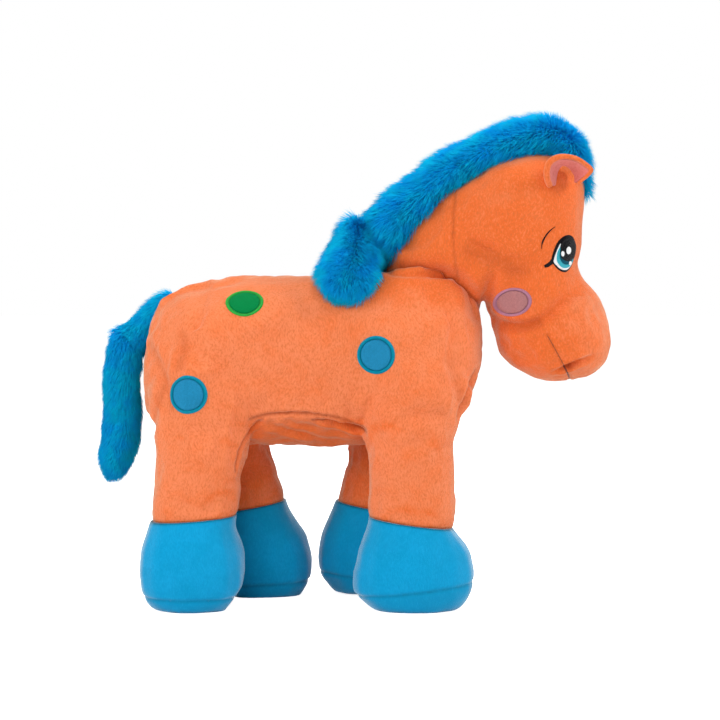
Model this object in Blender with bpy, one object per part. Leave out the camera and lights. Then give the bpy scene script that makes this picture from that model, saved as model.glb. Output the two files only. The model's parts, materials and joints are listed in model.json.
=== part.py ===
"""Standing plush horse: velour body and head, fur-fabric mane and tail, sewn hooves.

Metres, +Z up, +X towards the muzzle, -Y the horse's right side.
The origin is on the floor under the middle of the toy.
"""

import math

import bmesh
import bpy
from mathutils import Matrix, Vector
from mathutils.bvhtree import BVHTree

# Fabric, filling and clearances
FABRIC = 0.002
SEAM_GAP = 0.0003
TURN_GAP = 0.0008
THIGH_GAP = 0.0014
STITCH_LIFT = 0.0007
CUT_OVERRUN = 0.02
RAY_REACH = 0.3

# Trunk
TRUNK_LENGTH = 0.237
TRUNK_HEIGHT = 0.119
TRUNK_WIDTH = 0.108
TRUNK_REAR = 0.147
BELLY_HEIGHT = 0.11

# Legs
HIP_SPACING = 0.068
HIND_HIP_BACK = 0.102
FORE_HIP_AHEAD = 0.044
HIP_HEIGHT = 0.149
THIGH_RADIUS = 0.038
THIGH_THICKNESS = 0.052
SHIN_WIDTH = 0.05
ANKLE_HEIGHT = 0.062
HIND_ANKLE_LENGTH = 0.055
FORE_ANKLE_LENGTH = 0.057
HIND_HOOF_LENGTH = 0.074
FORE_HOOF_LENGTH = 0.081
HOOF_WIDTH = 0.06
HIND_RIGHT_ANKLE_AHEAD = -0.0085
HIND_RIGHT_HOOF_AHEAD = -0.0076
HIND_LEFT_ANKLE_AHEAD = 0.026
HIND_LEFT_HOOF_AHEAD = 0.037
FORE_RIGHT_ANKLE_AHEAD = -0.0035
FORE_RIGHT_HOOF_AHEAD = -0.0008
FORE_LEFT_ANKLE_AHEAD = -0.031
FORE_LEFT_HOOF_AHEAD = -0.0285
SOLE_INSET = 0.0036

# Neck
NECK_AHEAD = 0.053
NECK_HEIGHT = 0.212
NECK_BALL_RADIUS = 0.035
NECK_WIDTH = 0.072
NECK_RISE = 0.078
NECK_LEAN = 0.016
NECK_HOLE_RADIUS = 0.02

# Head
CROWN_AHEAD = 0.11
CROWN_HEIGHT = 0.312
HEAD_LENGTH = 0.1625
HEAD_PITCH = math.radians(13.5)
HEAD_DEPTH = 0.1
HEAD_WIDTH = 0.088
HEAD_TURN_AHEAD = 0.092

# Mane
CREST_WIDTH = 0.066
CROWN_WIDTH = 0.05
CROWN_THICKNESS = 0.033
CREST_THICKNESS = 0.038
TIP_LENGTH = 0.074
TIP_WIDTH = 0.042
TIP_THICKNESS = 0.03
TIP_AHEAD = 0.001
TIP_SIDE = 0.003
TIP_TOP_HEIGHT = 0.268
TIP_SPLAY = math.radians(40)
TIP_HINGE_DROP = 0.02

# Ears
EAR_LENGTH = 0.034
EAR_WIDTH = 0.021
EAR_THICKNESS = 0.003
EAR_CUP = 0.004
EAR_AHEAD = 0.130
EAR_SIDE = 0.0365
EAR_HEIGHT = 0.302
EAR_SPLAY = math.radians(28)
LINING_THICKNESS = 0.0015
LINING_INSET = 0.0025

# Places of the spots
SHOULDER_SPOT_AHEAD = 0.0158
SHOULDER_SPOT_HEIGHT = 0.1755
BACK_SPOT_BACK = 0.0735
BACK_SPOT_HEIGHT = 0.2085
BACK_SPOT_TILT = math.radians(44)
THIGH_SPOT_BACK = 0.0095
RUMP_SPOT_HEIGHT = 0.134
CHEEK_AHEAD = 0.1095
CHEEK_LEVEL = 0.2105

# Tail
TAIL_ROOT_BACK = 0.133
TAIL_ROOT_HEIGHT = 0.204
DOCK_REACH = 0.0265
DOCK_DROP = 0.026
DOCK_RADIUS = 0.0115
TAIL_RADIUS = 0.0145
SWITCH_LENGTH = 0.096
SWITCH_SWEEP = 0.008

# Sewn and embroidered details
SPOT_DIAMETER = 0.026
RUMP_SPOT_DIAMETER = 0.018
CHEEK_LENGTH = 0.026
CHEEK_HEIGHT = 0.02
BORDER_WIDTH = 0.0024
PATCH_THICKNESS = 0.0008
BORDER_THICKNESS = 0.0014
THREAD_LAYER = 0.0005
LAYER_GAP = 0.0008
EYE_LENGTH = 0.0165
EYE_HEIGHT = 0.0255
EYE_AHEAD = 0.1455
EYE_LEVEL = 0.244
BROW_LENGTH = 0.0095
BROW_HEIGHT = 0.0145
BROW_WIDTH = 0.0012
SEAM_THREAD_RADIUS = 0.0007
MOUTH_AHEAD = 0.1345
MOUTH_LEVEL = 0.187

# Limits of the movements that the neighbours are cut clear of
HEAD_TURN = math.radians(25)
NOD_DOWN = math.radians(6)
NOD_UP = math.radians(6)
LEG_OUT = math.radians(22)
LEG_IN = math.radians(14)
TAIL_LIFT = math.radians(55)
TAIL_SWAY = math.radians(25)
EAR_SWING = math.radians(30)
TIP_LIFT = math.radians(35)

# Facets
BODY_SIDES = 18
LIMB_SIDES = 14
OUTLINE_SIDES = 16
SWEEP_STEPS = 4
ROUND_POWER = 2.4

ORANGE = (0.86, 0.25, 0.06)
FUR_BLUE = (0.01, 0.2, 0.5)
HOOF_BLUE = (0.005, 0.27, 0.55)
SPOT_BLUE = (0.06, 0.26, 0.5)
SATIN_BLUE = (0.01, 0.35, 0.6)
SPOT_GREEN = (0.01, 0.26, 0.07)
SATIN_GREEN = (0.05, 0.5, 0.08)
MAUVE = (0.5, 0.24, 0.24)
SATIN_LILAC = (0.6, 0.3, 0.4)
PINK = (0.7, 0.2, 0.2)
BLACK = (0.01, 0.01, 0.012)
WHITE = (0.85, 0.85, 0.83)
AQUA = (0.05, 0.5, 0.55)
FILLING = (0.8, 0.8, 0.78)

for old in list(bpy.data.objects):
    bpy.data.objects.remove(old, do_unlink=True)


# Materials and objects
def material(name, colour, roughness=0.9):
    found = bpy.data.materials.get(name)
    if found:
        return found
    made = bpy.data.materials.new(name)
    made.use_nodes = True
    shader = made.node_tree.nodes["Principled BSDF"]
    shader.inputs["Base Color"].default_value = (*colour, 1.0)
    shader.inputs["Roughness"].default_value = roughness
    shader.inputs["Metallic"].default_value = 0.0
    made.diffuse_color = (*colour, 1.0)
    return made


VELOUR = material("velour_orange", ORANGE)
FUR = material("fur_blue", FUR_BLUE)
HOOF_VELOUR = material("velour_hoof_blue", HOOF_BLUE)
STUFFING = material("polyester_filling", FILLING)
LINING = material("lining_pink", PINK)
THREAD_BLACK = material("thread_black", BLACK)
THREAD_AQUA = material("thread_aqua", AQUA)
THREAD_WHITE = material("thread_white", WHITE)


def new_object(name, mesh, surface, origin=None, helper=False):
    """Adds a mesh of world points as an object whose origin is on its joint's axis."""
    if origin is not None:
        mesh.transform(Matrix.Translation(-Vector(origin)))
    obj = bpy.data.objects.new(name, mesh)
    if origin is not None:
        obj.location = origin
    bpy.context.scene.collection.objects.link(obj)
    if surface is not None:
        mesh.materials.append(surface)
    if helper:
        obj.hide_render = True
        obj.display_type = "WIRE"
    else:
        mesh.shade_smooth()
    return obj


def mesh_from(bm, name):
    mesh = bpy.data.meshes.new(name)
    bm.to_mesh(mesh)
    bm.free()
    return mesh


# Smooth tables of shares
def smooth(table, place):
    """Reads a table of (place, value) pairs with a cubic that never overshoots."""
    if place <= table[0][0]:
        return table[0][1]
    if place >= table[-1][0]:
        return table[-1][1]
    slopes = []
    for (x0, y0), (x1, y1) in zip(table, table[1:]):
        slopes.append((y1 - y0) / (x1 - x0))
    turns = [slopes[0]]
    for before, after in zip(slopes, slopes[1:]):
        same_way = before * after > 0
        turns.append(2 * before * after / (before + after) if same_way else 0.0)
    turns.append(slopes[-1])
    for i, ((x0, y0), (x1, y1)) in enumerate(zip(table, table[1:])):
        if place <= x1:
            step = x1 - x0
            t = (place - x0) / step
            rise = (3 - 2 * t) * t * t
            bend = t * (1 - t) * ((1 - t) * turns[i] - t * turns[i + 1])
            return y0 + (y1 - y0) * rise + step * bend
    return table[-1][1]


def end_round(share, start_share, end_share):
    """1 along the middle of a form, falling to 0 at ends that round off within these shares."""
    if share < start_share:
        depth = (start_share - share) / start_share
    elif share > 1 - end_share:
        depth = (share - 1 + end_share) / end_share
    else:
        return 1.0
    depth = min(depth, 1.0)
    return (1 - depth**ROUND_POWER) ** (1 / ROUND_POWER)


def even_shares(count):
    """Places between 0 and 1, closer together near both ends."""
    return [0.5 - 0.5 * math.cos(math.pi * (i + 1) / (count + 1)) for i in range(count)]


# Lofted surfaces
def ring(centre, right, up, sides, power=2.0):
    """One closed ring of points round a centre; right and up are half sizes with direction."""
    points = []
    for i in range(sides):
        angle = 2 * math.pi * i / sides
        cosine, sine = math.cos(angle), math.sin(angle)
        across = math.copysign(abs(cosine) ** (2 / power), cosine)
        above = math.copysign(abs(sine) ** (2 / power), sine)
        points.append(centre + right * across + up * above)
    return points


def loft(rings, start=None, end=None):
    """Joins rings into a surface, with a point or an open edge at each end, normals outwards."""
    bm = bmesh.new()
    rows = [[bm.verts.new(p) for p in row] for row in rings]
    sides = len(rings[0])
    for low, high in zip(rows, rows[1:]):
        for i in range(sides):
            j = (i + 1) % sides
            bm.faces.new((low[i], low[j], high[j], high[i]))
    for pole, row, first in ((start, rows[0], True), (end, rows[-1], False)):
        if pole is None:
            continue
        tip = bm.verts.new(pole)
        for i in range(sides):
            j = (i + 1) % sides
            bm.faces.new((row[j], row[i], tip) if first else (row[i], row[j], tip))
    centre = sum((v.co for v in bm.verts), Vector()) / len(bm.verts)
    bm.normal_update()
    if sum((f.calc_center_median() - centre).dot(f.normal) for f in bm.faces) < 0:
        bmesh.ops.reverse_faces(bm, faces=bm.faces)
    bm.normal_update()
    return bm


def inset(bm, distance):
    """Moves every point inwards by a distance measured square to the faces round it."""
    bm.normal_update()
    moves = [(v, v.normal * distance * v.calc_shell_factor()) for v in bm.verts]
    for vert, move in moves:
        vert.co -= move
    bm.normal_update()
    return bm


def cap_flat(bm):
    """Closes each open edge with one flat face."""
    edges = [e for e in bm.edges if e.is_boundary]
    bmesh.ops.holes_fill(bm, edges=edges, sides=0)
    bm.normal_update()
    return bm


def hull_mesh(points, name):
    """The smallest convex solid round the points."""
    bm = bmesh.new()
    for p in points:
        bm.verts.new(p)
    made = bmesh.ops.convex_hull(bm, input=bm.verts)
    spare = {v for v in made["geom_interior"] + made["geom_unused"] if isinstance(v, bmesh.types.BMVert)}
    bmesh.ops.delete(bm, geom=list(spare), context="VERTS")
    bmesh.ops.recalc_face_normals(bm, faces=bm.faces)
    return mesh_from(bm, name)


def turned(points, pivot, axis, low, high, steps=SWEEP_STEPS):
    """The points at even steps of a turn about an axis, for a solid's swept space."""
    pivot = Vector(pivot)
    swept = []
    for i in range(steps + 1):
        angle = low + (high - low) * i / steps
        rotation = Matrix.Rotation(angle, 3, axis)
        swept += [rotation @ (p - pivot) + pivot for p in points]
    return swept


def swelled(bm, distance):
    """The points of a surface, moved outwards."""
    points = [v.co.copy() for v in inset(bm, -distance).verts]
    bm.free()
    return points


def cutter(mesh):
    return new_object(mesh.name, mesh, None, helper=True)


def cut(obj, tools):
    """Takes each helper solid away from an object."""
    for tool in tools:
        step = obj.modifiers.new("cut_by_" + tool.name, "BOOLEAN")
        step.operation = "DIFFERENCE"
        step.solver = "EXACT"
        step.object = tool


def thicken(obj, thickness=FABRIC):
    """Gives an open surface the thickness of its fabric, inwards."""
    step = obj.modifiers.new("fabric", "SOLIDIFY")
    step.thickness = thickness
    step.offset = -1.0
    step.use_even_offset = True
    step.use_rim = True


# Trunk form
TRUNK_MIDDLE = BELLY_HEIGHT + TRUNK_HEIGHT / 2
TRUNK_LEVEL_SHARES = [(0.0, -0.06), (0.25, 0.0), (0.6, 0.0), (0.78, 0.02), (0.9, 0.05), (1.0, 0.14)]
TRUNK_HEIGHT_SHARES = [(0.0, 0.94), (0.25, 0.985), (0.6, 1.0), (0.8, 0.99), (0.9, 0.95), (1.0, 0.84)]
TRUNK_WIDTH_SHARES = [(0.0, 0.93), (0.25, 1.0), (0.5, 0.98), (0.8, 0.98), (1.0, 0.84)]
TRUNK_ROUND_SHARES = (0.15, 0.12)
TRUNK_RINGS = 12
TRUNK_POWER = 2.2
HOOF_POWER = 2.3
HEAD_POWER = 2.15
CREST_POWER = 2.6


def trunk_point(share, level):
    return Vector((share * TRUNK_LENGTH - TRUNK_REAR, 0.0, level))


def trunk_surface():
    rings = []
    for share in even_shares(TRUNK_RINGS):
        plump = end_round(share, *TRUNK_ROUND_SHARES)
        level = TRUNK_MIDDLE + TRUNK_HEIGHT * smooth(TRUNK_LEVEL_SHARES, share)
        half_height = TRUNK_HEIGHT / 2 * smooth(TRUNK_HEIGHT_SHARES, share) * plump
        half_width = TRUNK_WIDTH / 2 * smooth(TRUNK_WIDTH_SHARES, share) * plump
        right = Vector((0.0, half_width, 0.0))
        up = Vector((0.0, 0.0, half_height))
        rings.append(ring(trunk_point(share, level), right, up, BODY_SIDES, TRUNK_POWER))
    rear = TRUNK_MIDDLE + TRUNK_HEIGHT * TRUNK_LEVEL_SHARES[0][1]
    front = TRUNK_MIDDLE + TRUNK_HEIGHT * TRUNK_LEVEL_SHARES[-1][1]
    return loft(rings, trunk_point(0.0, rear), trunk_point(1.0, front))


# Legs: each is one form from sole to hip, parted at the ankle seam
HOOF_SWELL_SHARES = [
    (0.0, 0.1), (0.07, 0.5), (0.22, 0.88), (0.42, 1.0), (0.66, 0.8), (0.86, 0.32), (1.0, 0.0),
]
HOOF_RING_SHARES = (0.0, 0.07, 0.22, 0.42, 0.66, 0.86, 1.0)
HOOF_LEAN_SHARES = [(0.0, 1.0), (0.42, 1.0), (1.0, 0.0)]
SHIN_SWELL_SHARES = [(0.0, 0.0), (0.25, 0.2), (0.5, 0.5), (0.75, 0.82), (1.0, 1.0)]
SHIN_RING_SHARES = (0.0, 0.3, 0.65, 1.0)
THIGH_RING_SHARES = (0.4, 0.72, 0.93)
HIND = dict(hip=-HIND_HIP_BACK, ankle_length=HIND_ANKLE_LENGTH, hoof_length=HIND_HOOF_LENGTH)
FORE = dict(hip=FORE_HIP_AHEAD, ankle_length=FORE_ANKLE_LENGTH, hoof_length=FORE_HOOF_LENGTH)
RIGHT, LEFT = -1, 1
FORWARD_ONLY, BACKWARD_ONLY = (-LEG_OUT, 0.0), (0.0, LEG_OUT)
LEGS = {
    "hind_right": dict(
        HIND, side=RIGHT, ankle=HIND_RIGHT_ANKLE_AHEAD, foot=HIND_RIGHT_HOOF_AHEAD, swing=(-LEG_IN, LEG_OUT)
    ),
    "hind_left": dict(
        HIND, side=LEFT, ankle=HIND_LEFT_ANKLE_AHEAD, foot=HIND_LEFT_HOOF_AHEAD, swing=BACKWARD_ONLY
    ),
    "fore_right": dict(
        FORE, side=RIGHT, ankle=FORE_RIGHT_ANKLE_AHEAD, foot=FORE_RIGHT_HOOF_AHEAD, swing=(-LEG_OUT, LEG_IN)
    ),
    "fore_left": dict(
        FORE, side=LEFT, ankle=FORE_LEFT_ANKLE_AHEAD, foot=FORE_LEFT_HOOF_AHEAD, swing=FORWARD_ONLY
    ),
}


def hip_of(leg):
    return Vector((leg["hip"], leg["side"] * HIP_SPACING / 2, HIP_HEIGHT))


def level_ring(ahead, aside, height, half_length, half_width, power=2.0, sides=LIMB_SIDES):
    right, up = Vector((half_length, 0.0, 0.0)), Vector((0.0, half_width, 0.0))
    return ring(Vector((ahead, aside, height)), right, up, sides, power)


def hoof_rings(leg):
    rings = []
    aside = hip_of(leg).y
    for share in HOOF_RING_SHARES:
        swell = smooth(HOOF_SWELL_SHARES, share)
        length = leg["ankle_length"] + (leg["hoof_length"] - leg["ankle_length"]) * swell
        width = SHIN_WIDTH + (HOOF_WIDTH - SHIN_WIDTH) * swell
        lean = leg["ankle"] + (leg["foot"] - leg["ankle"]) * smooth(HOOF_LEAN_SHARES, share)
        height = share * (ANKLE_HEIGHT - SEAM_GAP / 2)
        rings.append(level_ring(leg["hip"] + lean, aside, height, length / 2, width / 2, HOOF_POWER))
    return rings


def shin_rings(leg):
    rings = []
    aside = hip_of(leg).y
    for share in SHIN_RING_SHARES:
        swell = smooth(SHIN_SWELL_SHARES, share)
        half_length = leg["ankle_length"] / 2 + (THIGH_RADIUS - leg["ankle_length"] / 2) * swell
        half_width = SHIN_WIDTH / 2 + (THIGH_THICKNESS - SHIN_WIDTH) / 2 * swell
        seam = ANKLE_HEIGHT + SEAM_GAP / 2
        height = seam + (HIP_HEIGHT - seam) * share
        ahead = leg["hip"] + leg["ankle"] * (1 - share)
        rings.append(level_ring(ahead, aside, height, half_length, half_width))
    for share in THIGH_RING_SHARES:
        narrowing = math.sqrt(1 - share**2)
        height = HIP_HEIGHT + THIGH_RADIUS * share
        half_length, half_width = THIGH_RADIUS * narrowing, THIGH_THICKNESS / 2 * narrowing
        rings.append(level_ring(leg["hip"], aside, height, half_length, half_width))
    return rings


def thigh_top(leg):
    return hip_of(leg) + Vector((0.0, 0.0, THIGH_RADIUS))


# Neck form: a ball in the trunk, rising to a rounded crest behind the head
NECK_PIVOT = Vector((NECK_AHEAD, 0.0, NECK_HEIGHT))
NECK_BALL_SHARES = (0.93, 0.72, 0.4)
NECK_RISE_SHARES = (0.0, 0.22, 0.44, 0.66, 0.84, 0.95)
NECK_DEPTH_SHARES = [(0.0, 1.0), (0.3, 1.02), (0.6, 0.95), (0.84, 0.72), (0.95, 0.42), (1.0, 0.0)]


def neck_surface():
    rings = []
    for share in NECK_BALL_SHARES:
        narrowing = math.sqrt(1 - share**2)
        height = NECK_HEIGHT - NECK_BALL_RADIUS * share
        half_width = NECK_WIDTH / 2 * narrowing
        half_depth = NECK_BALL_RADIUS * narrowing
        rings.append(level_ring(NECK_AHEAD, 0.0, height, half_depth, half_width, sides=BODY_SIDES))
    for share in NECK_RISE_SHARES:
        narrowing = smooth(NECK_DEPTH_SHARES, share)
        ahead = NECK_AHEAD + NECK_LEAN * share
        height = NECK_HEIGHT + NECK_RISE * share
        half_depth, half_width = NECK_BALL_RADIUS * narrowing, NECK_WIDTH / 2 * narrowing
        rings.append(level_ring(ahead, 0.0, height, half_depth, half_width, sides=BODY_SIDES))
    bottom = NECK_PIVOT - Vector((0.0, 0.0, NECK_BALL_RADIUS))
    top = NECK_PIVOT + Vector((NECK_LEAN, 0.0, NECK_RISE))
    return loft(rings, bottom, top)


# Head form: rings square to a line from the crown to the chin
CROWN = Vector((CROWN_AHEAD, 0.0, CROWN_HEIGHT))
HEAD_DOWN = Vector((math.sin(HEAD_PITCH), 0.0, -math.cos(HEAD_PITCH)))
HEAD_OUT = Vector((math.cos(HEAD_PITCH), 0.0, math.sin(HEAD_PITCH)))
SIDEWAYS = Vector((0.0, 1.0, 0.0))
HEAD_BACK_SHARES = [
    (0.0, -0.44), (0.1, -0.44), (0.2, -0.48), (0.3, -0.52), (0.4, -0.53), (0.5, -0.47),
    (0.56, -0.42), (0.62, -0.39), (0.72, -0.385), (0.82, -0.37), (0.9, -0.29), (1.0, -0.2),
]
HEAD_FRONT_SHARES = [
    (0.0, 0.44), (0.1, 0.45), (0.2, 0.455), (0.3, 0.43), (0.4, 0.385), (0.5, 0.32),
    (0.56, 0.3), (0.62, 0.345), (0.72, 0.41), (0.82, 0.41), (0.9, 0.395), (1.0, 0.36),
]
HEAD_WIDTH_SHARES = [
    (0.0, 0.92), (0.1, 0.96), (0.25, 1.0), (0.4, 0.98), (0.55, 0.86),
    (0.7, 0.91), (0.82, 0.93), (0.92, 0.88), (1.0, 0.8),
]
HEAD_ROUND_SHARES = (0.15, 0.16)
HEAD_RING_SHARES = (0.015, 0.06, 0.13, 0.23, 0.33, 0.43, 0.52, 0.6, 0.7, 0.8, 0.88, 0.95, 0.988)
SKULL_END_SHARE = 0.53
JAW_START_SHARE = 0.5


def head_point(down_share, out_share):
    return CROWN + HEAD_DOWN * (HEAD_LENGTH * down_share) + HEAD_OUT * (HEAD_DEPTH * out_share)


def head_ring(share):
    plump = end_round(share, *HEAD_ROUND_SHARES)
    back = smooth(HEAD_BACK_SHARES, share)
    front = smooth(HEAD_FRONT_SHARES, share)
    centre = head_point(share, (back + front) / 2)
    out = HEAD_OUT * (HEAD_DEPTH * (front - back) / 2 * plump)
    right = SIDEWAYS * (HEAD_WIDTH / 2 * smooth(HEAD_WIDTH_SHARES, share) * plump)
    return ring(centre, out, right, BODY_SIDES, HEAD_POWER)


def head_surface(low=0.0, high=1.0):
    rings = [head_ring(share) for share in HEAD_RING_SHARES if low <= share <= high]
    top = head_point(0.0, (HEAD_BACK_SHARES[0][1] + HEAD_FRONT_SHARES[0][1]) / 2)
    chin = head_point(1.0, (HEAD_BACK_SHARES[-1][1] + HEAD_FRONT_SHARES[-1][1]) / 2)
    return loft(rings, top if low == 0.0 else None, chin if high == 1.0 else None)


# Forms drawn along a path
NEARBY_SHARE = 0.02


def path_surface(stations, sides, power=2.0):
    """A form whose stations give a centre and two half sizes with direction, first and last as points."""
    rings = [ring(centre, right, up, sides, power) for centre, right, up in stations[1:-1]]
    return loft(rings, stations[0][0], stations[-1][0])


def strand_stations(points, widths, thicknesses, ends, count):
    """Stations along a smooth line through points, in the middle plane of the toy."""
    spans = [(b - a).length for a, b in zip(points, points[1:])]
    total = sum(spans)
    places = [sum(spans[:i]) / total for i in range(len(points))]
    tables = [[(place, p[k]) for place, p in zip(places, points)] for k in range(3)]
    stations = []
    for share in [0.0, *even_shares(count), 1.0]:
        here = Vector([smooth(table, share) for table in tables])
        before = Vector([smooth(table, share - NEARBY_SHARE) for table in tables])
        after = Vector([smooth(table, share + NEARBY_SHARE) for table in tables])
        along = (after - before).normalized()
        plump = end_round(share, *ends)
        up = along.cross(SIDEWAYS).normalized() * (smooth(thicknesses, share) * plump)
        right = SIDEWAYS * (smooth(widths, share) * plump)
        stations.append((here, right, up))
    return stations


# Mane: the crown rides on the head, the crest on the neck, the tip hangs over the withers
CROWN_PATH_SHARES = [
    (0.285, 0.445), (0.17, 0.465), (0.04, 0.4), (-0.035, 0.22), (-0.045, -0.025), (0.0, -0.29), (0.05, -0.43),
]
CROWN_WIDTH_SHARES = [(0.0, 0.6), (0.25, 0.72), (0.5, 0.95), (1.0, 1.0)]
CROWN_DEPTH_SHARES = [(0.0, 0.7), (0.4, 1.0), (1.0, 1.0)]
CROWN_END_SHARES = (0.1, 0.17)
CREST_PATH_SHARES = [(0.68, 1.25), (0.35, 1.15), (0.0, 1.02), (-0.4, 0.89), (-0.9, 0.7), (-1.38, 0.56)]
CREST_END_SHARES = (0.1, 0.22)
TIP_END_SHARES = (0.35, 0.45)
CROWN_STATIONS = 10
CREST_STATIONS = 8
TIP_STATIONS = 7
TIP_BACKWARD_SHARE = 0.09
TIP_ROOT = Vector((TIP_AHEAD, -TIP_SIDE, TIP_TOP_HEIGHT))
TIP_DOWN = Vector((-TIP_BACKWARD_SHARE, -math.sin(TIP_SPLAY), -math.cos(TIP_SPLAY))).normalized()
TIP_PIVOT = TIP_ROOT + TIP_DOWN * TIP_HINGE_DROP


def crown_surface():
    points = [head_point(down, out) for down, out in CROWN_PATH_SHARES]
    widths = [(place, CROWN_WIDTH / 2 * share) for place, share in CROWN_WIDTH_SHARES]
    thicknesses = [(place, CROWN_THICKNESS / 2 * share) for place, share in CROWN_DEPTH_SHARES]
    stations = strand_stations(points, widths, thicknesses, CROWN_END_SHARES, CROWN_STATIONS)
    return path_surface(stations, LIMB_SIDES)


def crest_surface():
    offsets = [Vector((NECK_BALL_RADIUS * out, 0.0, NECK_RISE * rise)) for out, rise in CREST_PATH_SHARES]
    points = [NECK_PIVOT + offset for offset in offsets]
    widths = [(0.0, CREST_WIDTH / 2)]
    thicknesses = [(0.0, CREST_THICKNESS / 2)]
    stations = strand_stations(points, widths, thicknesses, CREST_END_SHARES, CREST_STATIONS)
    return path_surface(stations, LIMB_SIDES, CREST_POWER)


def tip_surface():
    across = TIP_DOWN.cross(SIDEWAYS).normalized()
    outward = TIP_DOWN.cross(across).normalized()
    stations = []
    for share in [0.0, *even_shares(TIP_STATIONS), 1.0]:
        plump = end_round(share, *TIP_END_SHARES)
        centre = TIP_ROOT + TIP_DOWN * (TIP_LENGTH * share)
        stations.append((centre, across * (TIP_WIDTH / 2 * plump), outward * (TIP_THICKNESS / 2 * plump)))
    return path_surface(stations, LIMB_SIDES)


# Tail: the dock lifts on the trunk, the switch sways under the dock
TAIL_ROOT = Vector((-TAIL_ROOT_BACK, 0.0, TAIL_ROOT_HEIGHT))
TAIL_JOINT = TAIL_ROOT + Vector((-DOCK_REACH, 0.0, -DOCK_DROP))
DOCK_STATION_SHARES = (0.0, 0.35, 0.7, 1.0)
BALL_SHARES = (0.93, 0.6)
SWITCH_RADIUS_SHARES = [(0.0, 0.87), (0.25, 0.9), (0.55, 0.96), (0.8, 1.06), (1.0, 1.0)]
SWITCH_SWEEP_SHARES = [(0.0, 0.0), (0.22, 0.45), (0.53, 0.5), (0.77, 0.73), (1.0, 1.0)]
SWITCH_RING_SHARES = (0.0, 0.2, 0.4, 0.6, 0.78, 0.9, 0.97)
SWITCH_TIP_SHARES = (0.0, 0.28)
TAIL_JOINT_SHARE = 0.87


def dock_surface():
    along = (TAIL_JOINT - TAIL_ROOT).normalized()
    across = along.cross(SIDEWAYS).normalized()
    end_radius = TAIL_RADIUS * TAIL_JOINT_SHARE
    rings = []
    for share in BALL_SHARES:
        radius = DOCK_RADIUS * math.sqrt(1 - share**2)
        centre = TAIL_ROOT - along * (DOCK_RADIUS * share)
        rings.append(ring(centre, across * radius, SIDEWAYS * radius, LIMB_SIDES))
    for share in DOCK_STATION_SHARES:
        radius = DOCK_RADIUS + (end_radius - DOCK_RADIUS) * share
        rings.append(ring(TAIL_ROOT.lerp(TAIL_JOINT, share), across * radius, SIDEWAYS * radius, LIMB_SIDES))
    return loft(rings, TAIL_ROOT - along * DOCK_RADIUS, TAIL_JOINT + along * (end_radius / 2))


def switch_surface():
    radius = TAIL_RADIUS * TAIL_JOINT_SHARE
    rings = []
    for share in BALL_SHARES:
        narrow = radius * math.sqrt(1 - share**2)
        rings.append(level_ring(TAIL_JOINT.x, 0.0, TAIL_JOINT.z + radius * share, narrow, narrow))
    for share in SWITCH_RING_SHARES:
        plump = end_round(share, *SWITCH_TIP_SHARES)
        half = TAIL_RADIUS * smooth(SWITCH_RADIUS_SHARES, share) * plump
        ahead = TAIL_JOINT.x - SWITCH_SWEEP * smooth(SWITCH_SWEEP_SHARES, share)
        rings.append(level_ring(ahead, 0.0, TAIL_JOINT.z - SWITCH_LENGTH * share, half, half))
    top = TAIL_JOINT + Vector((0.0, 0.0, radius))
    tip = TAIL_JOINT - Vector((SWITCH_SWEEP, 0.0, SWITCH_LENGTH))
    return loft(rings, top, tip)


# Spaces that moving pieces sweep, cut from their neighbours
TURN_AXIS = Vector((HEAD_TURN_AHEAD, 0.0, NECK_HEIGHT))
leg_sweeps = []
for name, leg in LEGS.items():
    hip = hip_of(leg)
    points = swelled(loft(shin_rings(leg), None, thigh_top(leg)), THIGH_GAP)
    flank = max(abs(p.y - hip.y) for row in shin_rings(leg) for p in row) + TURN_GAP
    for p in points:
        p.y = hip.y + max(-flank, min(flank, p.y - hip.y))
    thigh = [p for p in points if p.z > HIP_HEIGHT - THIGH_GAP]
    shin = [p for p in points if p.z <= HIP_HEIGHT - THIGH_GAP]
    swept = turned(shin, hip, "Y", *leg["swing"], 2)
    leg_sweeps.append(cutter(hull_mesh(thigh + swept, "sweep_" + name)))
neck_points = swelled(neck_surface(), TURN_GAP)
neck_sweep = cutter(hull_mesh(turned(neck_points, NECK_PIVOT, "Y", -NOD_UP, NOD_DOWN, 1), "sweep_neck"))
dock_points = swelled(dock_surface(), TURN_GAP)
dock_sweep = cutter(hull_mesh(turned(dock_points, TAIL_ROOT, "Y", 0.0, TAIL_LIFT, 4), "sweep_dock"))
switch_points = swelled(switch_surface(), TURN_GAP)
swayed = turned(switch_points, TAIL_JOINT, "X", -TAIL_SWAY, TAIL_SWAY, 2)
switch_sweep = cutter(hull_mesh(swayed, "sweep_switch"))
skull_points = swelled(head_surface(0.0, SKULL_END_SHARE), TURN_GAP)
skull_sweep = cutter(hull_mesh(turned(skull_points, TURN_AXIS, "Z", -HEAD_TURN, HEAD_TURN), "sweep_skull"))
jaw_points = swelled(head_surface(JAW_START_SHARE, 1.0), TURN_GAP)
jaw_sweep = cutter(hull_mesh(turned(jaw_points, TURN_AXIS, "Z", -HEAD_TURN, HEAD_TURN), "sweep_jaw"))
crown_points = swelled(crown_surface(), TURN_GAP)
crown_rear = [p for p in crown_points if p.x < HEAD_TURN_AHEAD]
crown_sweep = cutter(hull_mesh(turned(crown_rear, TURN_AXIS, "Z", -HEAD_TURN, HEAD_TURN), "sweep_crown"))
crest_sweep = cutter(hull_mesh(turned(neck_points, TURN_AXIS, "Z", -HEAD_TURN, HEAD_TURN), "sweep_neck_top"))
tip_points = swelled(tip_surface(), TURN_GAP)
lifted_tip = turned(tip_points, TIP_PIVOT, "X", -TIP_LIFT, 0.0, 2)
tip_sweep = cutter(hull_mesh(turned(lifted_tip, NECK_PIVOT, "Y", 0.0, NOD_UP, 1), "sweep_tip"))


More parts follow.
